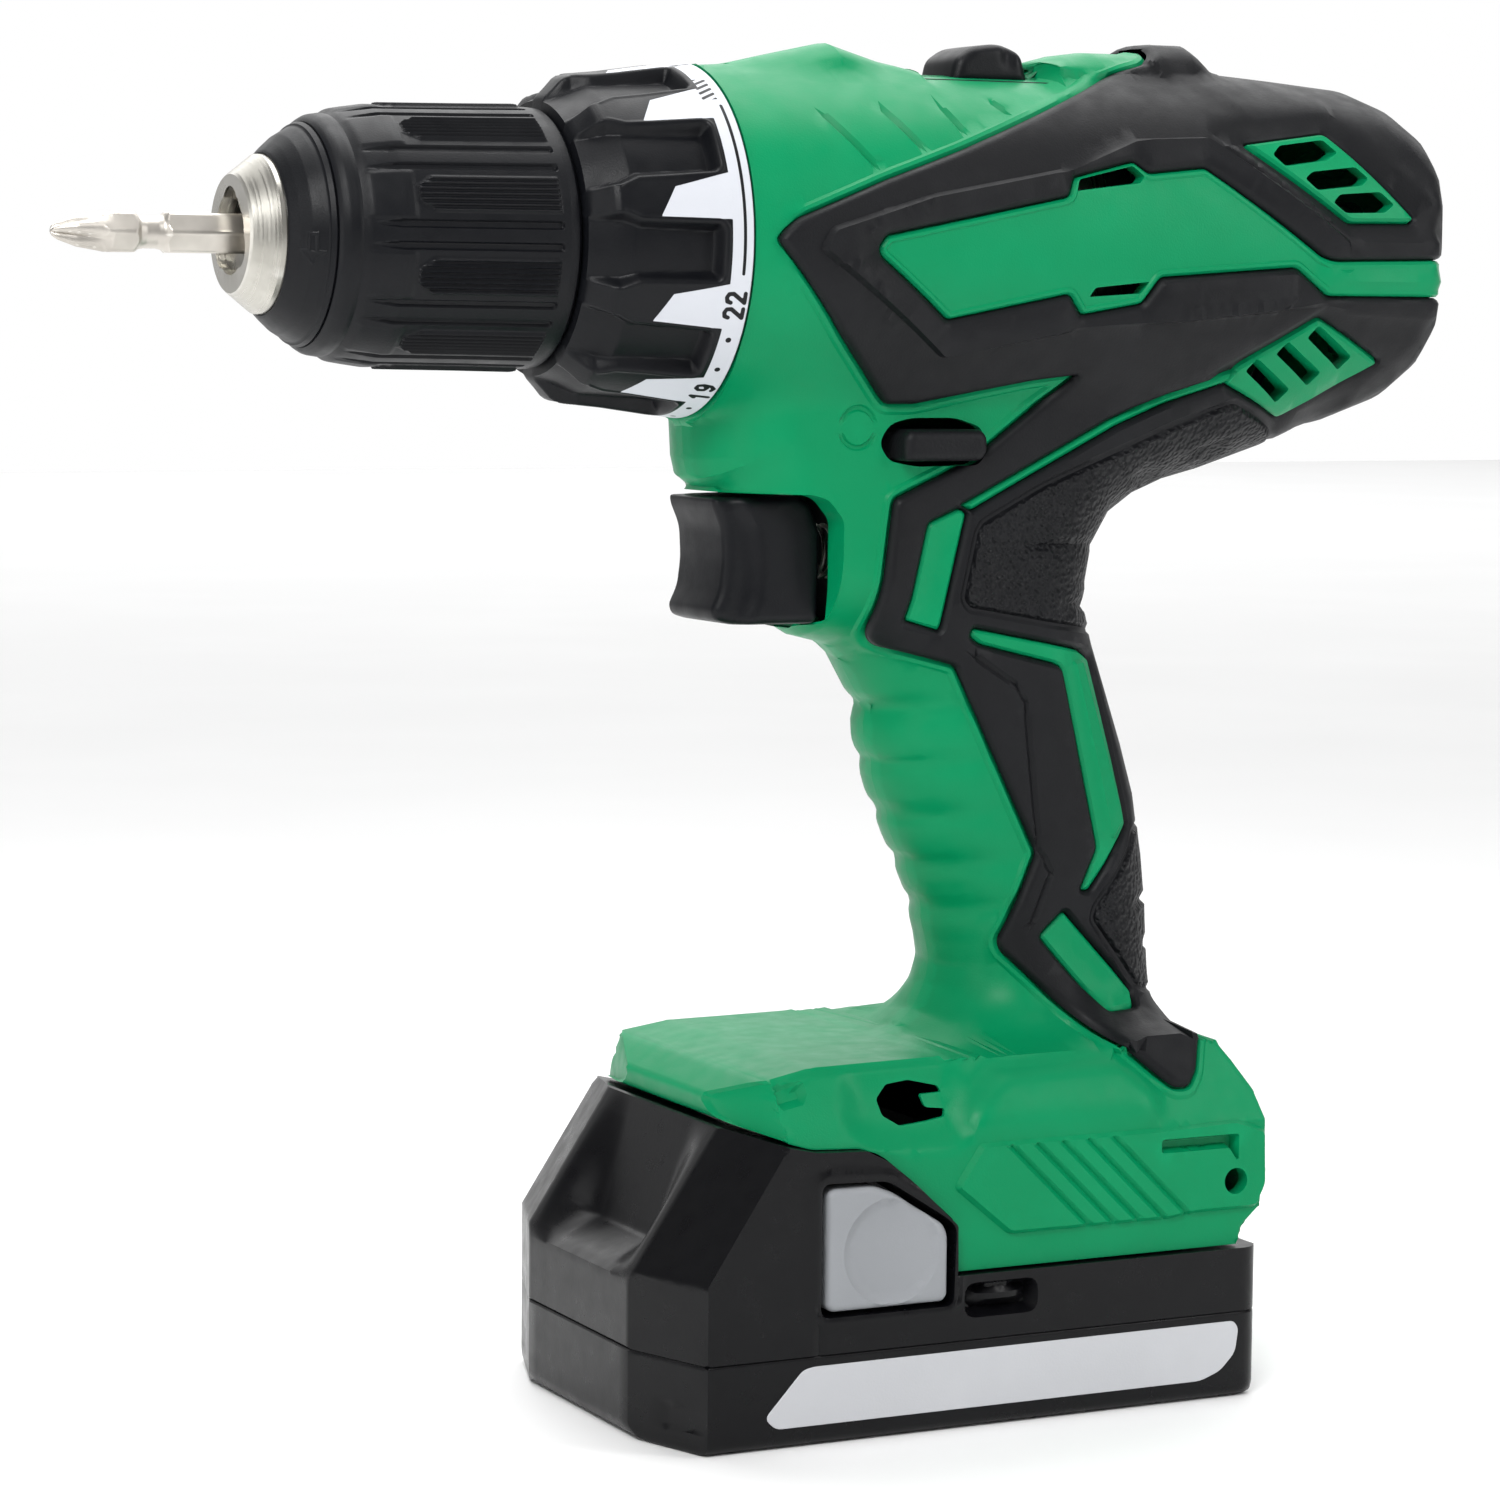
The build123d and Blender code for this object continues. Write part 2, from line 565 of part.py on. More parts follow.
# ---- trigger, switch and reversing lever ----
with BuildPart() as trigger:
    slab([(-19, 156), (-27.5, 155.6), (-25.4, 147.6), (-25.7, 140.4), (-27.6, 136.6), (-24, 134.2), (-8, 134.1),
          (-7.6, 150), (-10, 155.9)], -11, 11)
    fillet(trigger.edges().filter_by(GeomType.LINE).group_by(Axis.X)[0], 1.2)
    axle(-8, 2, 3, spindle_z - 146, -90)
write(trigger, "trigger")

with BuildPart() as trigger_spring:
    with BuildLine():
        coil = Helix(1.6, 6.4, 4.4, center=(-6.9, 0, 146), direction=(1, 0, 0))
    with BuildSketch(Plane(origin=coil @ 0, z_dir=coil % 0)):
        Circle(0.4)
    sweep(is_frenet=True)
write(trigger_spring, "trigger_spring")

with BuildPart() as switch_body:
    block(0.2, 28, -11, 11, 134.6, 159.6)
    block(4, 24, -9, 9, 130, 135)
    axle(0, 12, 3.05, spindle_z - 146, -90, mode=Mode.SUBTRACT)
write(switch_body, "switch_body")

with BuildPart() as reversing_lever:
    slab([(2.2, 161.9), (17.8, 161.9), (18.2, 165), (17.8, 167.4), (2.2, 167.4)], -22, 22)
    fillet(reversing_lever.edges().filter_by(Axis.Y), 0.8)
write(reversing_lever, "reversing_lever")

# ---- terminal block and wiring ----
with BuildPart() as terminal_block:
    block(6, 46, -20, 20, 44, 50)
write(terminal_block, "terminal_block")

blade_ys = [-15, -5, 5, 15]
with BuildPart() as terminal_blades:
    for y in blade_ys:
        block(22, 40, y - 0.5, y + 0.5, 33, 44)
write(terminal_blades, "terminal_blades")

with BuildPart() as wiring:
    for side in (-1, 1):
        with BuildLine() as route:
            FilletPolyline((34, 4 * side, 50), (34, 4 * side, 100), (22, 4 * side, 112), (22, 4 * side, 130),
                           radius=5)
        with BuildSketch(Plane(origin=route.line @ 0, z_dir=route.line % 0)):
            Circle(1.4)
        sweep(path=route.line)
        with BuildLine() as route:
            FilletPolyline((28, 6 * side, 156), (36, 6 * side, 156), (46, 6 * side, 170), (80, 6 * side, 173),
                           (86, 6 * side, 184), radius=4)
        with BuildSketch(Plane(origin=route.line @ 0, z_dir=route.line % 0)):
            Circle(1.2)
        sweep(path=route.line)
write(wiring, "wiring")

# ---- battery pack ----
pack_plan = [(pack_front_x, -20.5), (-41.4, -pack_half_width), (pack_rear_x, -pack_half_width),
             (pack_rear_x, pack_half_width), (-41.4, pack_half_width), (pack_front_x, 20.5)]
nose_outline = [(-60, pack_seam_z), (pack_front_x, 26.5), (pack_front_x + 0.5, 28.5), (-32, 52), (-21.6, 49.3),
                (-12.4, 48.9), (-8.6, 47), (-3, 42.5), (4.9, 35), (4.9, pack_shelf_z), (70, pack_shelf_z),
                (70, pack_seam_z)]
cell_r, cell_length, cell_pitch, cell_z = 9.1, 65.0, 18.8, 12.4
cell_xs = [-30 + cell_pitch * k for k in range(5)]


def pack_prism(inset, z0, z1, mode=Mode.ADD):
    """The battery's plan outline, drawn in by `inset`, between two heights."""
    with BuildSketch(Plane.XY.offset(z0)) as plan:
        with BuildLine():
            Polyline(pack_plan, close=True)
        make_face()
        if inset:
            offset(amount=-inset)
        fillet(plan.vertices(), 4)
    extrude(plan.sketch, z1 - z0, mode=mode)


with BuildPart() as battery_lower_case:
    pack_prism(0, 0, pack_seam_z)
    chamfer(battery_lower_case.faces().sort_by(Axis.Z)[0].edges(), 2.5)
    pack_prism(2.2, 2.4, 30, mode=Mode.SUBTRACT)
write(battery_lower_case, "battery_lower_case")

button_outline = [(-19.6, 23), (-18.4, 22), (2.4, 22), (3.4, 23), (3.4, 33.4), (2.4, 35.4), (-7, 41.4), (-11, 43),
                  (-18.4, 43), (-19.6, 42)]
with BuildPart() as battery_upper_case:
    pack_prism(0, pack_seam_z, 60)
    slab(nose_outline, -50, 50, mode=Mode.INTERSECT)
    block(4, 57, -tongue_half_width, tongue_half_width, pack_shelf_z - 1, tongue_top_z)
    for side in (-1, 1):
        block(4, 59, min(side * 23, side * 27), max(side * 23, side * 27), 30, 34, mode=Mode.SUBTRACT)
        slab([(-20.2, 21.4), (4, 21.4), (4, 35.8), (-10.8, 43.6), (-20.2, 43.6)], min(side * 30, side * 40),
             max(side * 30, side * 40), mode=Mode.SUBTRACT)
    pack_prism(2.2, 10, 24, mode=Mode.SUBTRACT)
    for y in blade_ys:
        block(16, 60, y - 1.6, y + 1.6, 32, 41, mode=Mode.SUBTRACT)
    slab([(-40, 23), (-40, 30), (-26, 45), (-22, 45), (-22, 23)], -20, 20, mode=Mode.SUBTRACT)
write(battery_upper_case, "battery_upper_case")

for node, side in (("battery_button_left", -1), ("battery_button_right", 1)):
    with BuildPart() as button:
        slab(button_outline, min(side * 33.5, side * 38.2), max(side * 33.5, side * 38.2))
    write(button, node)

with BuildPart() as battery_cells:
    for x in cell_xs:
        cross_pin(x, cell_z, cell_r, -cell_length / 2, cell_length / 2)
write(battery_cells, "battery_cells")

with BuildPart() as cell_straps:
    for side in (-1, 1):
        for first in range(0 if side < 0 else 1, 4, 2):
            block(cell_xs[first] - 4, cell_xs[first + 1] + 4, min(side * 32.5, side * 32.8),
                  max(side * 32.5, side * 32.8), cell_z - 3.5, cell_z + 3.5)
write(cell_straps, "cell_straps")

with BuildPart() as battery_board:
    block(10, 52, -20, 20, 21.9, 23.5)
    for y in blade_ys:
        for side in (-1, 1):
            block(24, 38, y + side * 1.1 - 0.4, y + side * 1.1 + 0.4, 32, 39)
write(battery_board, "battery_board")
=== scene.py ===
import json
import math

import bpy
import numpy as np
from mathutils import Matrix, Vector
from mathutils.geometry import delaunay_2d_cdt


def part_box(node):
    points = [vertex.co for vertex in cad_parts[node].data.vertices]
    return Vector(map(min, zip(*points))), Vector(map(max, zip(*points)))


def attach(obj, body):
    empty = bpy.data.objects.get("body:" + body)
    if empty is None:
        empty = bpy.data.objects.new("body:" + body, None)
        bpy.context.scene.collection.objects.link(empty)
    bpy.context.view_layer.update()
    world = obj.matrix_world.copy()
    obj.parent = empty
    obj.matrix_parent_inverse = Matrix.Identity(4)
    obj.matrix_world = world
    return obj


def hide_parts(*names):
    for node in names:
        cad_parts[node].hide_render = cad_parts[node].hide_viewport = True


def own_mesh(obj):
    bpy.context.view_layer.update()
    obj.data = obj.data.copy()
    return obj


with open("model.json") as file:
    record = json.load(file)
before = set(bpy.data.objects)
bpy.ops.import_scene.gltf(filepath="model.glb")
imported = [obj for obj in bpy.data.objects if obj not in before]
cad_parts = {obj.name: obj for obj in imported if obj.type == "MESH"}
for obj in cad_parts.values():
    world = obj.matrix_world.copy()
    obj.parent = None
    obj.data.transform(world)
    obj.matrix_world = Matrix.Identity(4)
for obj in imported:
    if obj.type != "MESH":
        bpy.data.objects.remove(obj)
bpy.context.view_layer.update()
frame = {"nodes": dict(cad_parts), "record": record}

# Sizes below are millimetres unless a name says otherwise: X runs from the bit (-) to the rear (+), Z is up,
# and Y = 0 is the joint between the housing halves. Meshes are written in metres.
MM = 0.001
SPINDLE_Z = 198.5
HALF_WIDTH = 38.42
FOOT_HALF = 37.4
SHELL_WALL = 2.6
MOUTH_HALF = 11.4


# ======== outlines on the side view ========
def rounded(points, radius=1.0, step=1.0, closed=True):
    """The outline with its corners rounded and its sides divided, as an (n, 2) array."""
    p, out = np.array(points, float), []
    n = len(p)
    for i in range(n):
        a, b, c = p[i - 1], p[i], p[(i + 1) % n]
        if not closed and i in (0, n - 1):
            out.append(b)
            continue
        la, lc = np.linalg.norm(a - b), np.linalg.norm(c - b)
        cut = min(radius, 0.45 * la, 0.45 * lc)
        s, e = b + (a - b) / la * cut, b + (c - b) / lc * cut
        for t in np.linspace(0, 1, 5 if cut > 0.3 else 2):
            out.append((1 - t) ** 2 * s + 2 * t * (1 - t) * b + t * t * e)
    out, fine = np.array(out), []
    for i in range(len(out) if closed else len(out) - 1):
        a, b = out[i], out[(i + 1) % len(out)]
        parts = max(1, int(np.linalg.norm(b - a) / step))
        fine += [a + (b - a) * k / parts for k in range(parts)]
    if not closed:
        fine.append(out[-1])
    return np.array(fine)


def distance(lines, p):
    """Distance from each point to the nearest of these open lines."""
    d = np.full(len(p), 1e9)
    for line in lines:
        for a, b in zip(line[:-1], line[1:]):
            ab = b - a
            t = np.clip(((p - a) @ ab) / max(ab @ ab, 1e-12), 0, 1)
            d = np.minimum(d, np.hypot(*(p - a - t[:, None] * ab).T))
    return d


def closed_line(loop):
    """The loop as one line that ends where it starts, in the list that `distance` takes."""
    return [np.vstack([loop, loop[:1]])]


def inside(loop, p):
    """Whether each point lies within the closed outline."""
    hit = np.zeros(len(p), bool)
    for a, b in zip(loop, np.roll(loop, -1, 0)):
        if a[1] == b[1]:
            continue
        crosses = (a[1] > p[:, 1]) != (b[1] > p[:, 1])
        hit ^= crosses & (p[:, 0] < (b[0] - a[0]) * (p[:, 1] - a[1]) / (b[1] - a[1]) + a[0])
    return hit


def depth_in(loop, p):
    """Signed distance to a closed outline, positive inside."""
    d = distance(closed_line(loop), p)
    return np.where(inside(loop, p), d, -d)


def moved_out(loop, by):
    """The closed loop moved outwards by `by`."""
    ahead, behind = np.roll(loop, -1, 0), np.roll(loop, 1, 0)
    along = ahead - behind
    length = np.maximum(np.linalg.norm(along, axis=1), 1e-9)[:, None]
    out = np.stack([along[:, 1], -along[:, 0]], 1) / length
    area = np.sum(loop[:, 0] * ahead[:, 1] - ahead[:, 0] * loop[:, 1])
    return loop + out * by * np.sign(area)


def ease(a, b, x):
    t = np.clip((x - a) / (b - a), 0, 1)
    return t * t * (3 - 2 * t)


def rolled(d, r):
    """A quarter-round: 0 at the edge, 1 from `r` in."""
    return np.sqrt(np.clip(1 - (1 - np.clip(d, 0, r) / r) ** 2, 0, 1))


def soft_max(a, b, k):
    h = np.clip(k - np.abs(a - b), 0, None) / k
    return np.maximum(a, b) + h * h * k / 4


# ---- the housing's outline, in stretches; the foot's underside, front rim and trigger mouth stay square ----
top_line = [(-29.8, 228.4), (-22.4, 228.9), (-15, 230.6), (-3.8, 233), (6, 230.2), (10.5, 229.2), (12, 229),
    (12.4, 228.2), (35.9, 228.2), (36.2, 230.9), (41, 232.2), (47, 233), (57, 233), (64.9, 232.9),
    (72, 228.4), (83, 227.6), (97, 226.4), (104, 224), (110, 220), (114, 214), (115.4, 207), (115.4, 190),
    (114, 183), (110, 176.5), (104, 172), (97, 169.6), (84, 165), (69.3, 160.4), (62, 158.6), (55, 155.8),
    (49.5, 152), (46.3, 146.6), (45.2, 140.5), (45.4, 135.2), (47, 129.9), (50.2, 121), (53.4, 112),
    (56.2, 103), (58, 92.3), (59, 83.3), (59.3, 74.3), (59.3, 67), (60.5, 63), (63.5, 58.5), (66.3, 53.5),
    (67.3, 48), (67.3, 36.8), (66.1, 32.5), (62.5, 29.3), (62, 26.7)]
foot_under = [(5.2, 26.7), (5.2, 35.3), (-3, 42.8), (-8.6, 47.3), (-12.4, 49.2), (-21.6, 49.6)]
front_line = [(-31, 52.4), (-32, 56), (-27, 60), (-18, 61.5), (6, 61.8), (12.5, 63), (16, 66), (18.2, 70.5),
    (18.9, 73.8), (18.2, 77.4), (15.6, 86.2), (12.9, 92), (10.4, 97.7), (8.3, 102.9), (6.1, 109.6),
    (5.5, 113.1), (5.1, 118.7), (3.5, 121.8), (0.5, 127), (-2.5, 129.6), (-8.3, 131), (-11, 132.6)]
mouth_line = [(-11, 133.8), (-7.5, 134.2), (-7, 140), (-7, 152), (-10, 155.5), (-13, 156.4)]
lip_line = [(-26.5, 156.6), (-28.6, 158.2), (-29.5, 162), (-29.8, 168)]
silhouette = rounded(top_line + foot_under + front_line + mouth_line + lip_line, 1.2, 1.3)
rolled_lines = [np.array(line, float) for line in (top_line, front_line, lip_line)]


def barrel_radius(x):
    r = np.interp(x, [-29.8, -20, -5, 60, 88, 100], [29.9, 30.2, 30.4, 30.4, 30.2, 29.6])
    t = np.clip((x - 100) / 15.5, 0, 1)
    return np.where(x > 100, 14.5 + 15.1 * np.sqrt(np.clip(1 - t ** 2.2, 0, 1)), r)


def half_width(p, inset=0.0):
    """How far the housing reaches from Y = 0 at each point of the side view, `inset` under its surface."""
    x, z = p[:, 0], p[:, 1]
    d = distance(rolled_lines, p)
    d = np.where(inside(silhouette, p) | (d > 1.0), d, 0)
    d = np.clip(d - inset, 0, None)
    q = (barrel_radius(x) - inset) ** 2 - (z - SPINDLE_Z) ** 2
    barrel = np.where(z < 150, -60, np.sign(q) * np.sqrt(np.abs(q)))
    w = np.interp(z, [60, 70, 82, 95, 120, 135, 150, 160, 172],
                  [19, 17, 16.5, 16.5, 17.3, 17.8, 18, 18.5, 19]) - inset
    w = w * (1 - ease(178, 192, z)) * (1 - ease(84, 104, x) * (z > 150))
    y = soft_max(barrel, w * rolled(d, 14), 7)
    crest_roll = np.interp(x, [5, 10, 38, 44], [5, 2, 2, 5])
    y = soft_max(y, (10 - inset) * rolled(d, crest_roll) * ease(219, 225, z) * (1 - ease(68, 78, x)), 3)
    y = np.minimum(y, 8.2 * np.sqrt(d + 1e-9))
    foot = np.interp(z, [26, 48.5, 61.8], [FOOT_HALF, FOOT_HALF, 29.5]) - inset
    foot = foot * np.where(x < -26.5, np.interp(x, [-32, -26.5], [0.47, 1.0]), 1)
    flare = 12 * np.exp(-np.clip(z - 61.5, 0, None) / 3.2) * ease(8, 20, x) * rolled(d, 6)
    # The outside keeps a flat top right up to its rim; the inside falls to nothing under it.
    foot = foot * rolled(d, 1.2) if inset else foot - 1.2 * (1 - rolled(d, 1.2))
    low = soft_max(np.where(z < 62.2, foot, -20), y, 3)
    y = np.where(z < 61, low, np.where(z < 85, np.maximum(y + flare, low), y))
    return np.clip(y, 0, HALF_WIDTH)


def surface_normal(p):
    e = 0.3
    dx = (half_width(p + (e, 0)) - half_width(p - (e, 0))) / (2 * e)
    dz = (half_width(p + (0, e)) - half_width(p - (0, e))) / (2 * e)
    n = np.stack([-dx, np.ones(len(p)), -dz], 1)
    return n / np.linalg.norm(n, axis=1)[:, None]


# ---- outlines drawn on the housing's side ----
rubber = rounded([(-26.2, 198.4), (-25, 200), (-22.5, 202), (-6, 208.5), (10, 214), (35.5, 223.5),
    (50.5, 229), (54.5, 230), (56.5, 231), (58, 233), (58, 238), (125, 238), (125, 150), (75, 120),
    (75, 74), (62, 70), (60, 66), (57, 62), (54.8, 57), (52.5, 54.5), (49.5, 54.5), (46.5, 57),
    (37.5, 65.5), (25.5, 77), (25, 79), (31.5, 94), (15.5, 125), (14.5, 127), (1.5, 130.5), (0, 132),
    (-0.5, 134), (2, 155.5), (12, 160), (18.5, 163.5), (32.5, 174), (35, 176.5), (26.5, 175.5), (5, 171.5),
    (-0.5, 171.5), (-12.5, 183), (-23.5, 195.5)], 1.0)
name_plate = rounded([(-8, 197.5), (-6.5, 199.5), (21, 205), (28.5, 206.5), (30, 209.8), (42.5, 212.8),
    (45, 210.8), (56.5, 212), (79, 197), (81.5, 196.4), (125, 197.3), (125, 190.2), (80.5, 190.2),
    (73.5, 195), (46.5, 193), (43.5, 188.5), (32, 186.5), (29, 190), (6.5, 185.5), (-7.5, 196)], 0.8)
insert_high = rounded([(8.5, 151.5), (14.5, 154), (16, 153), (11.5, 134), (11, 133), (4.8, 134.8)], 0.9)
insert_low = rounded([(32, 79.5), (37, 83.8), (50.7, 69), (50, 66.2), (44, 66)], 0.9)
line_stripe = rounded([(14.6, 154.4), (23, 158.6), (43, 168.8), (54, 173.2), (67, 177.4), (66, 175.2),
    (54, 171.4), (45, 167.8), (24.5, 157.4), (16.8, 153.4)], 0.4)
bent_stripe = rounded([(17, 132), (17.5, 133.5), (39.5, 129.2), (43, 127.5), (51, 98), (47.5, 94),
    (42, 86.8), (40.2, 87), (43.5, 94.5), (35.5, 126), (34, 126.8), (19, 130.5)], 0.8)
vent_high = rounded([(65.8, 216.3), (83.5, 218.7), (98.4, 204), (97.5, 203.2), (84.5, 203)], 1.0)
vent_low = rounded([(65, 175), (66.5, 178), (80, 186.4), (96.4, 178.6), (80.5, 168.6)], 1.0)
windows = [name_plate, insert_high, insert_low, line_stripe, bent_stripe, vent_high, vent_low]
stripe_bar = rounded([(37.8, 127), (40.6, 127.2), (49.6, 99), (47, 95.6), (45.8, 97.4)], 0.7)
high_slots = [rounded(s, 0.6) for s in (
    [(71, 214.4), (73, 216), (82.4, 217.2), (84.6, 215), (82, 213.6), (73, 212.4)],
    [(76.4, 210.4), (78.2, 211.6), (87.4, 212.6), (89.6, 210.6), (88, 209.4), (78.6, 208.4)],
    [(81.4, 206.4), (83, 207.8), (91.6, 208.4), (94.2, 206.2), (92, 204.8), (83.8, 204.6)])]
low_slots = [rounded([(x + 0.2, z - 1.2), (x + 1.8, z + 1), (x + 11, z - 4.4), (x + 9.4, z - 6.8)], 0.6)
             for x, z in ((68.2, 178.6), (73.2, 181.6), (78.4, 184.4))]
plate_slots = [rounded([(30.2, 207.4), (31, 209.3), (42, 211.8), (44, 210), (43, 209)], 0.4),
               rounded([(33, 189.7), (34, 191.3), (44.4, 192.4), (43, 190.4)], 0.4)]
facet_ring = rounded([(-19, 197), (-17, 200.5), (2, 206), (28, 210.6), (43, 215.8), (58, 216.5),
    (84, 199.6), (84, 189.4), (50.5, 186), (31, 184.5), (7, 180)], 1.0)
vent_well = rounded([(59, 217.2), (62, 219), (85.5, 221.6), (107, 202.6), (105.5, 199.8), (84.4, 199.8)],
    1.0)
low_well = rounded([(60, 177), (80, 189), (87, 187.8), (106, 187), (103.5, 177.5), (97.4, 172.5),
    (81, 166.2), (76, 168)], 1.0)
ridge_strips = [rounded(s, 1.0) for s in (
    [(-11, 199.3), (-8, 203.4), (2.6, 206.2), (0.6, 202.3)],
    [(-16, 195.2), (-12, 196), (-1.4, 187), (-4.2, 184.6)],
    [(50, 185.9), (52, 189.2), (74, 191), (71, 187.3)],
    [(60.5, 215.2), (64, 216), (81, 203.4), (78.4, 201.6)])]
ridge_ways = [(10.6, 2.8), (11.6, -9.2), (22, 1.7), (18, -13)]
palm_pad = rounded([(19, 151.5), (30.5, 157.5), (54, 167), (68, 172), (81, 166.8), (92, 160), (60, 140),
    (56, 128), (51, 130.8), (16.6, 137), (15.5, 138.5), (18, 150)], 1.2)
heel_pad = rounded([(50.8, 93.6), (52, 96.4), (66, 100), (66, 68), (54, 68.6), (51.6, 69.6), (42.6, 82),
    (43.2, 84)], 1.0)
dents = [((34, 147.3), 10.5, 2.4), ((41, 136.6), 12.5, 2.2), ((53, 159.5), 5.5, 2.6), ((66, 164), 5, 2.4),
         ((56, 84), 6, 1.6), ((56, 76), 6, 1.6)]
inner_line = np.array([(18, 128.5), (26, 123.5), (28, 120.5), (31.5, 95), (34, 90.5), (30.5, 82)], float)
lever_well = rounded([(-1, 165), (1, 168.2), (5, 169.2), (13.5, 169.2), (18.6, 167.6), (19.6, 164.8),
    (17.6, 161.2), (6.5, 160.9), (1, 161.9)], 1.6)
direction_mark = ((-5.0, 167.5), 3.3)
cuts = [((-13.5, 219.8), (-7, 211.5)), ((-2, 221), (2.5, 215)), ((9.6, 221.6), (11.4, 218)),
        ((20, 223), (21.6, 221.4))]
finger_valleys = [119.0, 109.2, 99.6, 90.6, 82.4]
flank = rounded([(8.5, 50.5), (9.5, 53.5), (15, 58.6), (39.5, 59.2), (45.5, 53.4), (44, 50.5)], 2.0)
hex_panel = rounded([(5, 41), (10, 48.2), (44.4, 48.2), (60, 48.8), (66.3, 46.5), (66.6, 37), (64.6, 33),
    (52, 33), (47, 32.4), (15.4, 32.4)], 1.0)
foot_grooves = [((15.6 + 5.0 * k, 47.4), (30.4 + 5.0 * k, 33.0)) for k in range(5)]
ear_slot = rounded([(45, 44), (45, 46.2), (60.4, 46.2), (60.4, 41.4), (58.6, 44)], 0.5)
strap_hole = ((60.0, 38.0), 2.3)
hook_hole = rounded([(-6.8, 57), (-4.6, 59), (-0.4, 59.4), (5.2, 58.3), (5.8, 57.3), (1.6, 57.2), (2, 55.2),
    (5.6, 54.8), (5.2, 53.5), (1.4, 53), (-3.5, 52.6), (-6.4, 54.4)], 0.5)
hook_dish = rounded([(-14, 52.5), (-12, 60.5), (8.4, 60.6), (8.4, 50.4), (4, 48.4), (-8, 49.5)], 2.5)
front_oval = ((-23.6, 58.4), 1.6)
screw_wells = [(-20, 163), (52, 163), (107, 181), (107, 216), (30, 122), (42, 78), (-16, 57), (52, 47)]
well_r, well_floor = 3.4, 9.1


def circle(centre, r, n=28):
    a = np.linspace(0, 2 * math.pi, n, endpoint=False)
    return np.stack([centre[0] + r * np.cos(a), centre[1] + r * np.sin(a)], 1)


def steps(s, at, to):
    return np.interp(s, at, to)


def rubber_depth(p):
    d = depth_in(rubber, p)
    for window in windows:
        d = np.minimum(d, -depth_in(window, p))
    return d


def dented(p, items):
    """Shallow pointed dents that open towards the rear."""
    h = np.zeros(len(p))
    for (x, z), long, tall in items:
        u = (p[:, 0] - x) / long
        v = (p[:, 1] - z) / (tall * np.clip(0.55 + 0.45 * u, 0.12, 1))
        h -= 0.9 * np.clip(1 - u * u - v * v, 0, 1) ** 0.7
    return h


def grooves(p, lines, wide, deep):
    h = np.zeros(len(p))
    for a, b in lines:
        h = np.minimum(h, -deep * (1 - ease(0, wide, distance([np.array([a, b], float)], p))))
    return h


def housing_relief(p, depth_rubber):
    """How far the green housing's features stand out of, or are sunk into, its plain surface."""
    x, z = p[:, 0], p[:, 1]
    edge = depth_in(rubber, p)
    h = steps(edge, [-1.8, -1.3, -0.7, -0.25], [0, 0.42, 0.42, 0]) * ease(-25, -20, x)
    h += steps(depth_rubber, [-0.04, 0.1], [0, -0.9])
    for window in windows:
        h += steps(depth_in(window, p), [0.0, 0.25, 0.75], [-0.1, 0.45, 0.85])
    plate = depth_in(name_plate, p)
    h += steps(plate, [1.2, 1.5], [0, -0.3]) * (x < 80)
    h += steps(np.abs(z - 193.8), [0.7, 1.1], [0.5, 0]) * ease(78, 81, x)
    h += 0.3 * ease(78, 80, x) * (plate > 0)
    h += steps(depth_in(stripe_bar, p), [-0.1, 0.35], [0, 0.5])
    for inset in (insert_high, insert_low):
        h += steps(depth_in(inset, p), [1.1, 1.4], [0, -0.28])
    h += grooves(p, cuts, 0.75, 0.7)
    (mx, mz), mr = direction_mark
    ring = np.abs(np.hypot(x - mx, z - mz) - mr)
    turn = np.degrees(np.arctan2(z - mz, x - mx)) % 180
    h -= steps(ring, [0.25, 0.55], [0.4, 0]) * ((turn > 20) & (turn < 160))
    fade = 1 - ease(4, 19, distance([rolled_lines[1]], p))
    for valley in finger_valleys:
        h -= 0.85 * np.exp(-((z - valley - 0.12 * (x - 8)) / 1.7) ** 2) * fade * (z < 124)
    h += steps(depth_in(flank, p), [-2.4, 1.6], [0, 2.4])
    h -= steps(depth_in(hook_dish, p), [-1.5, 3], [0, 1.5])
    h += steps(depth_in(hex_panel, p), [-0.15, 0.55], [0, 1.0])
    h += grooves(p, foot_grooves, 0.75, 0.7) * (depth_in(hex_panel, p) > -0.5)
    h -= steps(depth_in(ear_slot, p), [-0.05, 0.15], [0, 2.2])
    (ox, oz), orad = front_oval
    h -= steps(np.hypot((x - ox) / 1.5, z - oz), [orad, orad + 0.4], [1.2, 0])
    return h


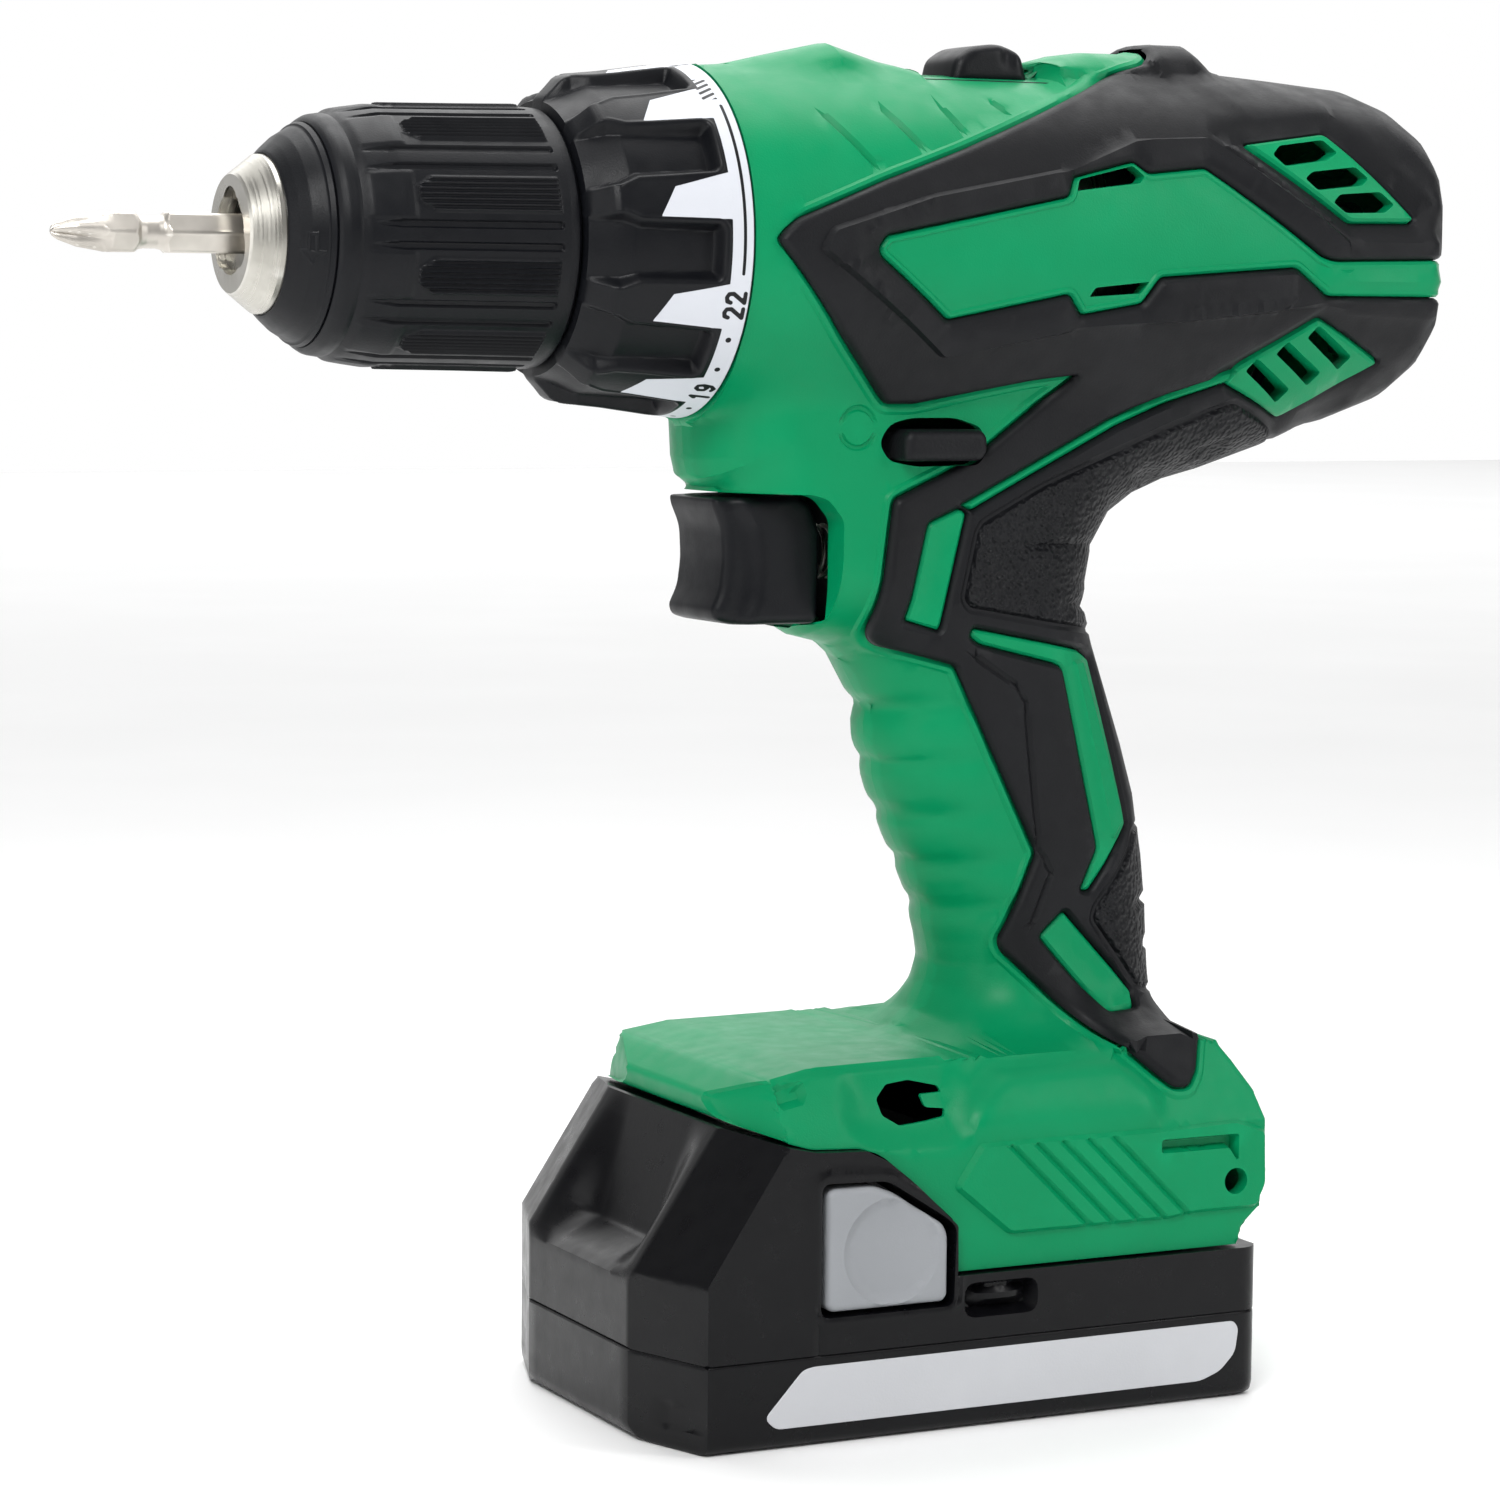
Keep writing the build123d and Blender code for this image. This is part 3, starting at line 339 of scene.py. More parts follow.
def rubber_relief(p, depth_rubber):
    """The same for the black rubber skin."""
    x, z = p[:, 0], p[:, 1]
    h = steps(depth_rubber, [0, 0.3, 0.8, 1.4], [-0.2, 0.5, 0.9, 1.0])
    plate_gap = -depth_in(name_plate, p)
    facet = depth_in(facet_ring, p)
    h += 1.15 * steps(facet, [-0.1, 0.6], [0, 1]) * steps(plate_gap, [0, 0.5, 4.6], [0, 0.12, 1])
    for well in (vent_well, low_well):
        h -= 0.95 * steps(depth_in(well, p), [-0.1, 1.6], [0, 1]) * (facet < 0.4)
    for strip, (wx, wz) in zip(ridge_strips, ridge_ways):
        length = math.hypot(wx, wz)
        along = (x * wx + z * wz) / length
        ridge = 0.5 + 0.5 * np.cos(2 * math.pi * (along + 0.35 * (z * wx - x * wz) / length) / 2.5)
        h += steps(depth_in(strip, p), [-0.1, 0.6], [0, 0.3]) * (0.35 + 1.3 * ridge)
    for pad in (palm_pad, heel_pad):
        h += steps(depth_in(pad, p), [-1.1, -0.5, 0.0, 0.7], [0, -0.4, -0.4, 0.15])
    h += dented(p, dents)
    h += grooves(p, list(zip(inner_line[:-1], inner_line[1:])), 0.5, 0.55)
    h += 0.5 * ease(0, 0.6, (x - 54.5) * 0.62 - (230.4 - z) * 0.78) * (z > 219) * (1 - ease(66, 70, x))
    return h


# ======== meshes ========
def triangulate(paths, extra):
    """A triangle mesh of the plane with every path's sides among its edges. A path is (points, closed)."""
    coords, edges = [], []
    for path, closed in paths:
        first, n = len(coords), len(path)
        coords += [Vector(q) for q in path.tolist()]
        edges += [(first + k, first + (k + 1) % n) for k in range(n if closed else n - 1)]
    coords += [Vector(q) for q in extra.tolist()]
    verts, _, faces, *_ = delaunay_2d_cdt(coords, edges, [], 0, 1e-4)
    return np.array([tuple(v) for v in verts]), np.array([f for f in faces if len(f) == 3])


def kept_off(points, loops, gap):
    """The points that share no cell, or neighbouring cell, of `gap` with any of the loops."""
    cells = {tuple(c) for loop in loops for c in np.floor(loop / gap).astype(int)}
    around = [(i, j) for i in (-1, 0, 1) for j in (-1, 0, 1)]
    free = [not any((c[0] + i, c[1] + j) in cells for i, j in around)
            for c in np.floor(points / gap).astype(int).tolist()]
    return points[np.array(free, bool)]


def fill_points(region, loops, spacing, rows=()):
    """Evenly spread points inside the region, kept off the loops, with closer rows along its edge."""
    low, high = region.min(0), region.max(0)
    xs, zs = np.arange(low[0], high[0], spacing), np.arange(low[1], high[1], spacing * 0.866)
    grid = np.array([(x + (k % 2) * spacing / 2, z) for k, z in enumerate(zs) for x in xs])
    grid = grid[inside(region, grid)]
    border = closed_line(region)
    grid = grid[distance(border, grid) > max(rows, default=0) + spacing * 0.4]
    points = [kept_off(grid, loops, spacing * 0.42)]
    for row in rows:
        line = moved_out(region, -row)
        line = line[inside(region, line)]
        line = line[distance(border, line) > 0.85 * row]
        points.append(kept_off(line, loops, 0.2))
    return np.vstack(points)


def linked(name, data):
    """A new object in the scene, made of this mesh, light or camera."""
    piece = bpy.data.objects.new(name, data)
    bpy.context.scene.collection.objects.link(piece)
    return piece


def new_object(name, verts, faces, finish, body, node=None, smooth=32):
    """A visible piece that rides on `body` and takes the place of the CAD `node`, or of several nodes."""
    mesh = bpy.data.meshes.new(name)
    mesh.from_pydata((np.asarray(verts) * MM).tolist(), [], [list(map(int, f)) for f in faces])
    mesh.validate()
    piece = linked(name, mesh)
    mesh.shade_smooth()
    mesh.set_sharp_from_angle(angle=math.radians(smooth))
    mesh.materials.append(finishes[finish])
    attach(piece, body)
    if node:
        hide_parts(*([node] if isinstance(node, str) else node))
    return piece


def open_edges(tris):
    """The edges that only one triangle has, in the direction in which it runs along them."""
    edges = dict.fromkeys(e for a, b, c in tris.tolist() for e in ((a, b), (b, c), (c, a)))
    return [(a, b) for a, b in edges if (b, a) not in edges]


def both_sides(tris, n):
    """The triangles, and the same ones turned over on the points that come `n` later."""
    return tris.tolist() + [(a + n, c + n, b + n) for a, b, c in tris.tolist()]


def closed_faces(tris, n, side=-1):
    """Both sides and the walls between them, turned over for a piece on the right."""
    faces = both_sides(tris, n) + [(b, a, a + n, b + n) for a, b in open_edges(tris)]
    return [tuple(reversed(f)) for f in faces] if side > 0 else faces


def packed(tris, *arrays):
    """The triangles renumbered for only the points they use, and those points' rows of each array."""
    used, index = np.unique(tris, return_inverse=True)
    return index.reshape(-1, 3), [a[used] for a in arrays]


def add_value(piece, name, values):
    attribute = piece.data.attributes.new(name, "FLOAT", "POINT")
    attribute.data.foreach_set("value", np.asarray(values, np.float32))


# ======== materials ========
def node_of(tree, kind, **values):
    n = tree.nodes.new(kind)
    for key, value in values.items():
        setattr(n, key, value)
    return n


def linear(rgb):
    """A display colour, 0 to 1, as the linear colour and alpha that shaders take."""
    return tuple(c / 12.92 if c <= 0.04045 else ((c + 0.055) / 1.055) ** 2.4 for c in rgb) + (1.0,)


def map_range(tree, value, ends, kind):
    """The value with ends[0] to ends[1] turned into ends[2] to ends[3]."""
    n = node_of(tree, "ShaderNodeMapRange", interpolation_type=kind)
    for key, end in zip(("From Min", "From Max", "To Min", "To Max"), ends):
        n.inputs[key].default_value = end
    tree.links.new(value, n.inputs["Value"])
    return n.outputs[0]


class Finish:
    """One Principled material and short ways to add procedural detail to it. Colours are display colours."""

    def __init__(self, name, color, roughness, metallic=0.0, specular=0.5):
        self.name = name
        self.material = bpy.data.materials.new(name)
        self.material.use_nodes = True
        self.tree = self.material.node_tree
        self.shader = self.tree.nodes["Principled BSDF"]
        self.shader.inputs["Metallic"].default_value = metallic
        self.shader.inputs["Specular IOR Level"].default_value = specular
        self.where = node_of(self.tree, "ShaderNodeTexCoord").outputs["Object"]
        self.color = linear(color)
        self.rough = roughness
        self.height = None

    def link(self, a, b):
        self.tree.links.new(a, b)

    def feed(self, value, socket):
        """Sets the socket to a constant, or links a node's output to it."""
        if isinstance(value, (int, float, tuple)):
            socket.default_value = value
        else:
            self.link(value, socket)

    def noise(self, per_mm, detail=3.0, stretch=(1, 1, 1)):
        place = node_of(self.tree, "ShaderNodeMapping")
        place.inputs["Scale"].default_value = stretch
        self.link(self.where, place.inputs["Vector"])
        n = node_of(self.tree, "ShaderNodeTexNoise")
        n.inputs["Scale"].default_value = per_mm * 1000
        n.inputs["Detail"].default_value = detail
        self.link(place.outputs[0], n.inputs["Vector"])
        return n.outputs["Fac"]

    def cells(self, per_mm, feature="F1"):
        n = node_of(self.tree, "ShaderNodeTexVoronoi", feature=feature)
        n.inputs["Scale"].default_value = per_mm * 1000
        self.link(self.where, n.inputs["Vector"])
        return n.outputs["Distance"]

    def attribute(self, name):
        return node_of(self.tree, "ShaderNodeAttribute", attribute_name=name).outputs["Fac"]

    def spread(self, value, low, high, to_low, to_high):
        return map_range(self.tree, value, (low, high, to_low, to_high), "LINEAR")

    def math(self, operation, a, b):
        n = node_of(self.tree, "ShaderNodeMath", operation=operation)
        for socket, value in zip(n.inputs, (a, b)):
            self.feed(value, socket)
        return n.outputs[0]

    def paint(self, mask, color):
        """Lays a colour over the finish where the mask is 1."""
        n = node_of(self.tree, "ShaderNodeMix", data_type="RGBA")
        self.link(mask, n.inputs["Factor"])
        self.feed(self.color, n.inputs["A"])
        n.inputs["B"].default_value = linear(color)
        self.color = n.outputs["Result"]
        return self

    def mottle(self, per_mm, color, amount):
        return self.paint(self.spread(self.noise(per_mm), 0.45, 0.7, 0, amount), color)

    def worn_edges(self, color, amount):
        # Lightens the colour along sharp convex edges, by Pointiness: a painted edge highlight, along with
        # edge wear.
        edge = node_of(self.tree, "ShaderNodeNewGeometry").outputs["Pointiness"]
        return self.paint(self.spread(edge, 0.52, 0.6, 0, amount), color)

    def vary_roughness(self, per_mm, low, high, stretch=(1, 1, 1)):
        self.rough = self.spread(self.noise(per_mm, 4.0, stretch), 0.3, 0.7, low, high)
        return self

    def grain(self, value, strength, depth_mm=0.1):
        n = node_of(self.tree, "ShaderNodeBump")
        n.inputs["Strength"].default_value = strength
        n.inputs["Distance"].default_value = depth_mm * MM
        self.link(value, n.inputs["Height"])
        if self.height is not None:
            self.link(self.height, n.inputs["Normal"])
        self.height = n.outputs[0]
        return self

    def done(self):
        self.feed(self.color, self.shader.inputs["Base Color"])
        self.feed(self.rough, self.shader.inputs["Roughness"])
        if self.height is not None:
            self.link(self.height, self.shader.inputs["Normal"])
        return self.material


def plastic(name, color, light, rough, grain_per_mm=3.2, grain_depth=0.05, specular=0.2):
    finish = Finish(name, color, rough, specular=specular)
    # The lighter colour on sharp edges is a painted edge highlight along with edge wear; the mottle is random
    # tone.
    finish.mottle(0.05, light, 0.25).worn_edges(light, 0.4)
    finish.vary_roughness(0.25, rough - 0.05, rough + 0.07)
    return finish.grain(finish.noise(grain_per_mm, 2.0), 0.5, grain_depth)


def metal(name, color, dark, rough, stretch):
    finish = Finish(name, color, rough, metallic=1.0)
    # The near-white colour on sharp edges is a painted edge highlight along with edge wear; the mottle is
    # random tone.
    finish.mottle(0.12, dark, 0.5).worn_edges((0.95, 0.94, 0.92), 0.35)
    finish.vary_roughness(0.05, rough - 0.08, rough + 0.12, stretch)
    return finish.grain(finish.noise(0.06, 4.0, stretch), 0.35, 0.03)


def leather_rubber():
    """Black rubber with a leather-like grain where the mesh's `pad` value is high."""
    finish = plastic("black_rubber", (0.05, 0.053, 0.065), (0.085, 0.09, 0.105), 0.5, 2.6, 0.07)
    on_pad = finish.spread(finish.attribute("pad"), 0.0, 0.5, 0, 1)
    return finish.grain(finish.math("MULTIPLY", on_pad, finish.cells(1.15, "SMOOTH_F1")), 1.0, 0.9)


def collar_print():
    """Black plastic with a silver print, and dark ink on the silver, where the mesh's values are above 0."""
    finish = plastic("collar_print", (0.045, 0.05, 0.065), (0.075, 0.08, 0.095), 0.4)
    silver, ink = (finish.spread(finish.attribute(name), -0.03, 0.03, 0, 1) for name in ("silver", "ink"))
    finish.paint(silver, (0.78, 0.79, 0.815))
    return finish.paint(finish.math("MULTIPLY", silver, ink), (0.08, 0.08, 0.09))


# name, colour, lighter colour, roughness, then grain per mm, grain depth and specular where they differ
plastics = [
    ("green_plastic", (0.0, 0.51, 0.32), (0.0, 0.57, 0.37), 0.38, 3.2, 0.05, 0.14),
    ("black_plastic", (0.045, 0.05, 0.065), (0.075, 0.08, 0.095), 0.42),
    ("black_gloss", (0.025, 0.025, 0.035), (0.045, 0.048, 0.06), 0.3, 1.6, 0.02),
    ("grainy_black", (0.055, 0.058, 0.07), (0.1, 0.105, 0.12), 0.5, 1.7, 0.16),
    ("grey_button", (0.56, 0.57, 0.585), (0.62, 0.63, 0.645), 0.45, 2.4, 0.05),
    ("silver_print", (0.74, 0.745, 0.76), (0.8, 0.805, 0.82), 0.38, 2.8, 0.04),
    ("ferrite", (0.25, 0.25, 0.26), (0.35, 0.35, 0.36), 0.6),
    ("carbon", (0.16, 0.16, 0.16), (0.25, 0.25, 0.25), 0.55),
    ("cell_wrap", (0.12, 0.3, 0.55), (0.2, 0.4, 0.65), 0.3),
    ("board", (0.05, 0.35, 0.18), (0.1, 0.45, 0.25), 0.45)]
# name, colour, darker colour, roughness, then the grain's stretch
metals = [
    ("steel_satin", (0.74, 0.73, 0.70), (0.55, 0.54, 0.51), 0.3, (60, 1, 1)),
    ("bit_steel", (0.80, 0.78, 0.75), (0.62, 0.6, 0.57), 0.36, (1, 1, 1)),
    ("alloy", (0.75, 0.75, 0.77), (0.6, 0.6, 0.62), 0.45, (1, 1, 1)),
    ("copper", (0.85, 0.55, 0.38), (0.7, 0.42, 0.28), 0.35, (1, 1, 1))]
made = [plastic(*row) for row in plastics] + [metal(*row) for row in metals]
made += [leather_rubber(), collar_print()]
finishes = {finish.name: finish.done() for finish in made}
finishes["scale_silver"] = finishes["silver_print"]
for part in frame["record"]["subparts"]:
    for each in frame["nodes"][part["node"]].material_slots:
        each.material = finishes[part["material_slot"]]


# ======== housing halves and their rubber skins ========
openings = high_slots + low_slots + plate_slots + [lever_well, hook_hole]
feature_loops = [moved_out(outline, by) for outlines, offsets in (
    ([rubber], (0, 0.25, 0.7, 1.3, 1.8, -0.15, -0.45, -0.9, -1.4)),
    (windows, (-0.75, -0.25, 0, 0.3, 0.85)),
    (openings, (0, 0.45)),
    (ridge_strips + [stripe_bar, ear_slot], (-0.5, 0.1)),
    ([facet_ring, vent_well, low_well, hex_panel], (-0.6, 0.15)),
    ([name_plate], (-1.2, -1.5)),
    ([palm_pad, heel_pad], (-0.7, 0, 0.5, 1.1))) for outline in outlines for by in offsets]
for (centre, r), offsets in ((strap_hole, (0, 0.5)), (direction_mark, (-0.55, -0.25, 0.25, 0.55))):
    feature_loops += [circle(centre, r + by) for by in offsets]
for a, b in cuts + foot_grooves + list(zip(inner_line[:-1], inner_line[1:])):
    a, b = np.array(a, float), np.array(b, float)
    aside = np.array([a[1] - b[1], b[0] - a[0]]) / np.linalg.norm(b - a) * 0.75
    feature_loops.append(rounded([a + aside, b + aside, b - aside, a - aside], 0.3, 1.2))
    feature_loops.append(rounded([a, b, (a + b) / 2 + aside * 0.05], 0.0, 1.2))
mouth_back = rounded([(-40, 133.2), (2.4, 133.2), (2.4, 156.3), (-40, 156.3)], 0.1, 1.5)
feature_loops += [moved_out(mouth_back, by) for by in (-0.1, 0.25)]
top_slot = rounded([(12, 226.4), (36.2, 226.4), (36.2, 240), (12, 240)], 0.1, 2)


def paths_inside(loops):
    """The silhouette, the loops that lie within it and, of the others, the runs of points that do."""
    paths = [(silhouette, True)]
    for loop in loops:
        within = inside(silhouette, loop) & (distance(closed_line(silhouette), loop) > 0.15)
        if within.all():
            paths.append((loop, True))
            continue
        for run in np.split(np.arange(len(loop)), np.flatnonzero(np.diff(within)) + 1):
            if within[run[0]] and len(run) > 1:
                paths.append((loop[run], False))
    return paths


def make_halves():
    loops = feature_loops + [circle(site, r) for r in (well_r, well_r - 0.2) for site in screw_wells]
    extra = fill_points(silhouette, loops, 1.7, (0.1, 0.3, 0.65, 1.15, 1.9, 3.0, 4.4))
    p, tris = triangulate(paths_inside(loops), extra)
    middle = p[tris].mean(1)
    keep = inside(silhouette, middle)
    for hole in openings + [circle(*strap_hole)]:
        keep &= ~inside(hole, middle)
    tris, middle = tris[keep], middle[keep]

    base, normal = half_width(p), surface_normal(p)
    rim = distance(closed_line(silhouette), p) < 0.02
    flat_top = (p[:, 0] < 7) & (p[:, 1] > 50) & (p[:, 1] < 62.5)
    base[rim & (distance(rolled_lines, p) < 0.02) & ~flat_top] = 0
    normal[rim, 1] = 0
    normal[rim] /= np.maximum(np.linalg.norm(normal[rim], axis=1), 1e-6)[:, None]
    square = rim & ((distance(rolled_lines, p) > 0.3) | flat_top)
    normal[square] = (0, 1, 0)
    front = p[:, 0] < -29.6
    normal[front & (p[:, 1] > 168)] *= (0, 1, 1)
    on_surface = np.stack([p[:, 0], base, p[:, 1]], 1)
    soft = rubber_depth(p)

    def raised(relief):
        out = on_surface + normal * relief[:, None]
        out[:, 1] = np.clip(out[:, 1], 0, HALF_WIDTH)
        out[rim & (base == 0), 1] = 0
        out[:, 0] = np.clip(out[:, 0], -32.2, 116.5)
        out[:, 2] = np.minimum(out[:, 2], 233.95)
        return out

    top = raised(housing_relief(p, soft))
    inner = np.minimum(half_width(p, SHELL_WALL), np.clip(base - 1.2, 0, None))
    inner[rim & flat_top] = 0
    inner = np.where(inside(mouth_back, p), np.minimum(base - 0.4, MOUTH_HALF), inner)
    inner = np.where(inside(top_slot, p), np.minimum(base, 7.5), inner)
    inner = np.minimum(inner, top[:, 1])
    under = np.stack([top[:, 0], inner, top[:, 2]], 1)
    skin_top = raised(rubber_relief(p, soft))
    skin_under = raised(np.full(len(p), -0.5))
    skin_under[:, 0], skin_under[:, 2] = skin_top[:, 0], skin_top[:, 2]
    skin_under[:, 1] = np.minimum(skin_under[:, 1], skin_top[:, 1])
    pad = np.maximum(depth_in(palm_pad, p), depth_in(heel_pad, p)) - np.clip(-dented(p, dents) * 3, 0, 2)

    in_rubber = rubber_depth(middle) > 0
    for side, name in ((-1, "left"), (1, "right")):
        high, low, soft_tris = top.copy(), under.copy(), tris[in_rubber]
        if side > 0:
            for site in screw_wells:
                well = np.hypot(*(p - site).T) < well_r - 0.1
                high[well, 1] = np.minimum(high[well, 1], well_floor)
                low[well, 1] = np.minimum(low[well, 1], well_floor - 1.5)
                soft_tris = soft_tris[np.hypot(*(p[soft_tris].mean(1) - site).T) > well_r]
        for part, these, upper, lower, slot in (
                ("housing", tris, high, low, "green_plastic"),
                ("grip_skin", soft_tris, skin_top, skin_under, "black_rubber")):
            index, (a, b, values) = packed(these, upper, lower, pad)
            points = np.vstack([a, b])
            points[:, 1] = np.abs(points[:, 1]) * side
            node = f"{part}_{name}"
            faces = closed_faces(index, len(a), side)
            piece = new_object(f"{node}_shell", points, faces, slot, "root", node)
            if part == "grip_skin":
                add_value(piece, "pad", np.hstack([values, values]))


make_halves()


# ======== turned pieces ========
def turned_piece(name, xs, outer, inner, body, finish, node, around, values=None):
    """A closed ring about the spindle axis; `outer` and `inner` give a radius for each x and angle from +Z
    towards -Y, and the wall joins them at both ends."""
    xs = np.asarray(xs, float)
    turn = np.linspace(0, 2 * math.pi, around, endpoint=False)
    gx, gt = np.meshgrid(xs, turn, indexing="ij")
    verts = []
    for x, radius in ((gx, outer), (gx[::-1], inner)):
        r = radius(x, gt) + np.zeros(gx.shape)
        verts.append(np.stack([x, -r * np.sin(gt), SPINDLE_Z + r * np.cos(gt)], 2).reshape(-1, 3))
    rows, n = 2 * len(xs), around
    faces = []
    for i in range(rows):
        a, b = i * n, ((i + 1) % rows) * n
        faces += [(a + j, a + (j + 1) % n, b + (j + 1) % n, b + j) for j in range(n)]
    piece = new_object(name, np.vstack(verts), faces, finish, body, node, smooth=30)
    for key, function in (values or {}).items():
        add_value(piece, key, np.hstack([function(gx, gt).ravel(), np.full(gx.size, -9.0)]))


def away(angle, centre):
    """The angle from `centre`, in degrees between -180 and 180."""
    return (np.degrees(angle) - centre + 180) % 360 - 180


def profile(points):
    p = np.array(points, float)
    return lambda x: np.interp(x, p[:, 0], p[:, 1])


def bump(x, low, high, soft):
    return ease(low - soft, low, x) * (1 - ease(high, high + soft, x))


sleeve_profile = profile([(-97.6, 18.2), (-97.2, 18.75), (-96.2, 19.35), (-94.6, 19.6), (-93.9, 19.5),
    (-93.4, 19.9), (-92.8, 20.15), (-90.6, 20.5), (-87.1, 21), (-71, 21.25), (-59, 21.5), (-57.6, 21.4),
    (-57, 20.9)])


def sleeve_surface(x, t):
    r = sleeve_profile(x)
    a = (np.degrees(t) + 18) % 36 - 18
    mm = np.radians(a) * 21
    front = -85.3 + 2.8 * np.clip((np.abs(mm) - 1.3) / 1.7, 0, 1)
    block = ease(-0.3, 0.1, x - front) * (1 - ease(-60.9, -60.5, x)) * (1 - ease(2.95, 3.2, np.abs(mm)))
    ribs = (0.5 + 0.5 * np.cos(2 * math.pi * a / 2.4)) ** 1.4
    r = r + block * (0.1 + 0.42 * ribs * (x > front + 0.5))
    end = -60.2
    off = np.abs(np.abs(mm) - 4.85)
    u = np.where(x > end - 0.6, np.hypot(x - (end - 0.6), off), off)
    taper = np.clip((x + 93) / 5, 0, 1)
    r = r - 0.55 * (1 - ease(0.35 * taper, 0.3 + 0.45 * taper, u)) * taper * (x < end)
    return r + 0.22 * bump(x, -92.4, -86, 1.0) * (1 - ease(3.4, 4.4, np.abs(mm)))


def sleeve_bore(x, t):
    return 14.3 + 1.2 * (x > -60) + 4.9 * (x <= -60) * (x > -89)


sleeve_xs = np.concatenate([np.linspace(*span) for span in (
    (-97.6, -92, 18), (-91.7, -81.6, 40), (-80.8, -62.6, 12), (-62, -57, 26))])
turned_piece("chuck_sleeve_grip", sleeve_xs, sleeve_surface, sleeve_bore, "sleeve", "black_plastic",
             "chuck_sleeve", 900)

cap_profile = profile([(-104.3, 13.1), (-104.1, 13.4), (-102.9, 14.6), (-101.3, 16.0), (-99.6, 17.0),
    (-98.9, 17.35), (-98.75, 17.75), (-98.0, 18.1), (-97.65, 17.9)])


def cap_surface(x, t):
    """The nose ring has a plain arrow that shows which way the sleeve is turned to hold."""
    a = away(t, 100) * math.pi / 180 * 16
    aside = np.abs(x + 101.2)
    stem = np.maximum(aside - 0.55, np.abs(a + 1.3) - 1.5)
    head = np.maximum(aside + a * 0.8 - 1.6, -a)
    mark = np.abs(np.minimum(stem, head))
    return cap_profile(x) + 0.16 * (1 - ease(0.08, 0.3, mark))


turned_piece("chuck_nose_ring", np.linspace(-104.3, -97.65, 56), cap_surface, lambda x, t: 12.9, "sleeve",
             "black_plastic", "chuck_front_cap", 640)

collar_profile = profile([(-56.6, 22.6), (-56.2, 23.4), (-54.6, 25), (-53.4, 26.3), (-52.6, 26.8),
    (-51, 27.1), (-44.5, 27.8), (-37.2, 28.85), (-31.4, 29.55), (-30.5, 29.65), (-30.1, 29.3)])


def recess_depth(x, t):
    """Signed distance into the nearest of the collar's ten finger recesses, in millimetres."""
    a = (np.degrees(t) - 22.5 + 18) % 36 - 18
    mm = np.radians(a) * 27.8
    half = np.interp(x, [-58, -52, -49, -35], [6.9, 6.5, 5.2, 4.7])
    sides = half - np.abs(mm)
    back = -34.9 - x
    corner_r = 1.4
    rounded_off = corner_r - np.hypot(corner_r - sides, corner_r - back)
    return np.where((sides < corner_r) & (back < corner_r), rounded_off, np.minimum(sides, back))


def collar_surface(x, t):
    d = recess_depth(x, t)
    r = collar_profile(x)
    floor = np.interp(x, [-56.6, -53, -49.8, -36], [22.6, 24.2, 25.6, 26.6])
    sunk = ease(0.0, 1.5, d)
    r = np.minimum(r, r * (1 - sunk) + floor * sunk)
    return r + 0.14 * (1 - ease(0.0, 0.5, np.abs(d + 0.25))) * (x > -52)


def strokes(x, mm, lines, width):
    """Signed distance into a drawing of straight strokes, laid on the collar's print."""
    q = np.stack([x.ravel(), mm.ravel()], 1)
    d = distance([np.array(line, float) for line in lines], q)
    return (width / 2 - d).reshape(x.shape)


def silver_area(x, t):
    """The silver print: a band, and a tooth that points forward between each two recesses."""
    a = (np.degrees(t) - 4.5 + 18) % 36 - 18
    mm = np.radians(a) * 28
    front_edge = x - np.interp(mm, [-1.8, 3.6], [-43.2, -46.2])
    upper_edge = mm - np.interp(x, [-45, -43.2, -34], [-1.2, -1.8, -3.9])
    outside = -recess_depth(x, t)
    tooth = np.minimum(np.minimum(np.minimum(front_edge, upper_edge), 3.55 - mm), outside - 0.55)
    band = np.minimum(x + 34.0, outside - 0.5)
    return np.minimum(np.maximum(tooth, band), -30.4 - x)


# Each digit's strokes in a box one unit wide and one high.
DIGITS = {
    "1": [[(0.2, 0.75), (0.5, 1), (0.5, 0)]],
    "2": [[(0.05, 0.75), (0.15, 0.95), (0.5, 1), (0.8, 0.9), (0.85, 0.65), (0.1, 0), (0.9, 0)]],
    "3": [[(0.1, 0.9), (0.5, 1), (0.8, 0.85), (0.75, 0.6), (0.45, 0.52), (0.8, 0.42), (0.88, 0.2), (0.5, 0),
           (0.1, 0.1)]],
    "4": [[(0.7, 0), (0.7, 1), (0.05, 0.3), (0.95, 0.3)]],
    "6": [[(0.8, 0.9), (0.5, 1), (0.2, 0.8), (0.1, 0.35), (0.25, 0.05), (0.6, 0), (0.88, 0.2), (0.8, 0.5),
           (0.5, 0.6), (0.15, 0.4)]],
    "7": [[(0.1, 1), (0.9, 1), (0.4, 0)]],
    "9": [[(0.2, 0.1), (0.5, 0), (0.8, 0.2), (0.9, 0.65), (0.75, 0.95), (0.4, 1), (0.12, 0.8), (0.2, 0.5),
           (0.5, 0.4), (0.85, 0.6)]],
    "0": [[(0.5, 1), (0.15, 0.8), (0.1, 0.2), (0.5, 0), (0.88, 0.2), (0.88, 0.8), (0.5, 1)]],
}


def dial_lines():
    """Numbers 1 to 22 in steps of three, and the angles of the dots between them."""
    lines, dots = [], []
    step_deg, first = 37.0, 111.5
    height, width, gap = 3.1, 1.9, 0.7
    for k, number in enumerate((22, 19, 16, 13, 10, 7, 4, 1)):
        centre = first + step_deg * k
        text = str(number)
        length = len(text) * width + (len(text) - 1) * gap
        for i, digit in enumerate(text):
            start = length / 2 - i * (width + gap)
            for stroke in DIGITS[digit]:
                lines.append((centre, [(-31.15 - height * v, start - u * width) for u, v in stroke]))
        if k < 7:
            dots += [centre + step_deg / 3, centre + step_deg * 2 / 3]
    return lines, dots


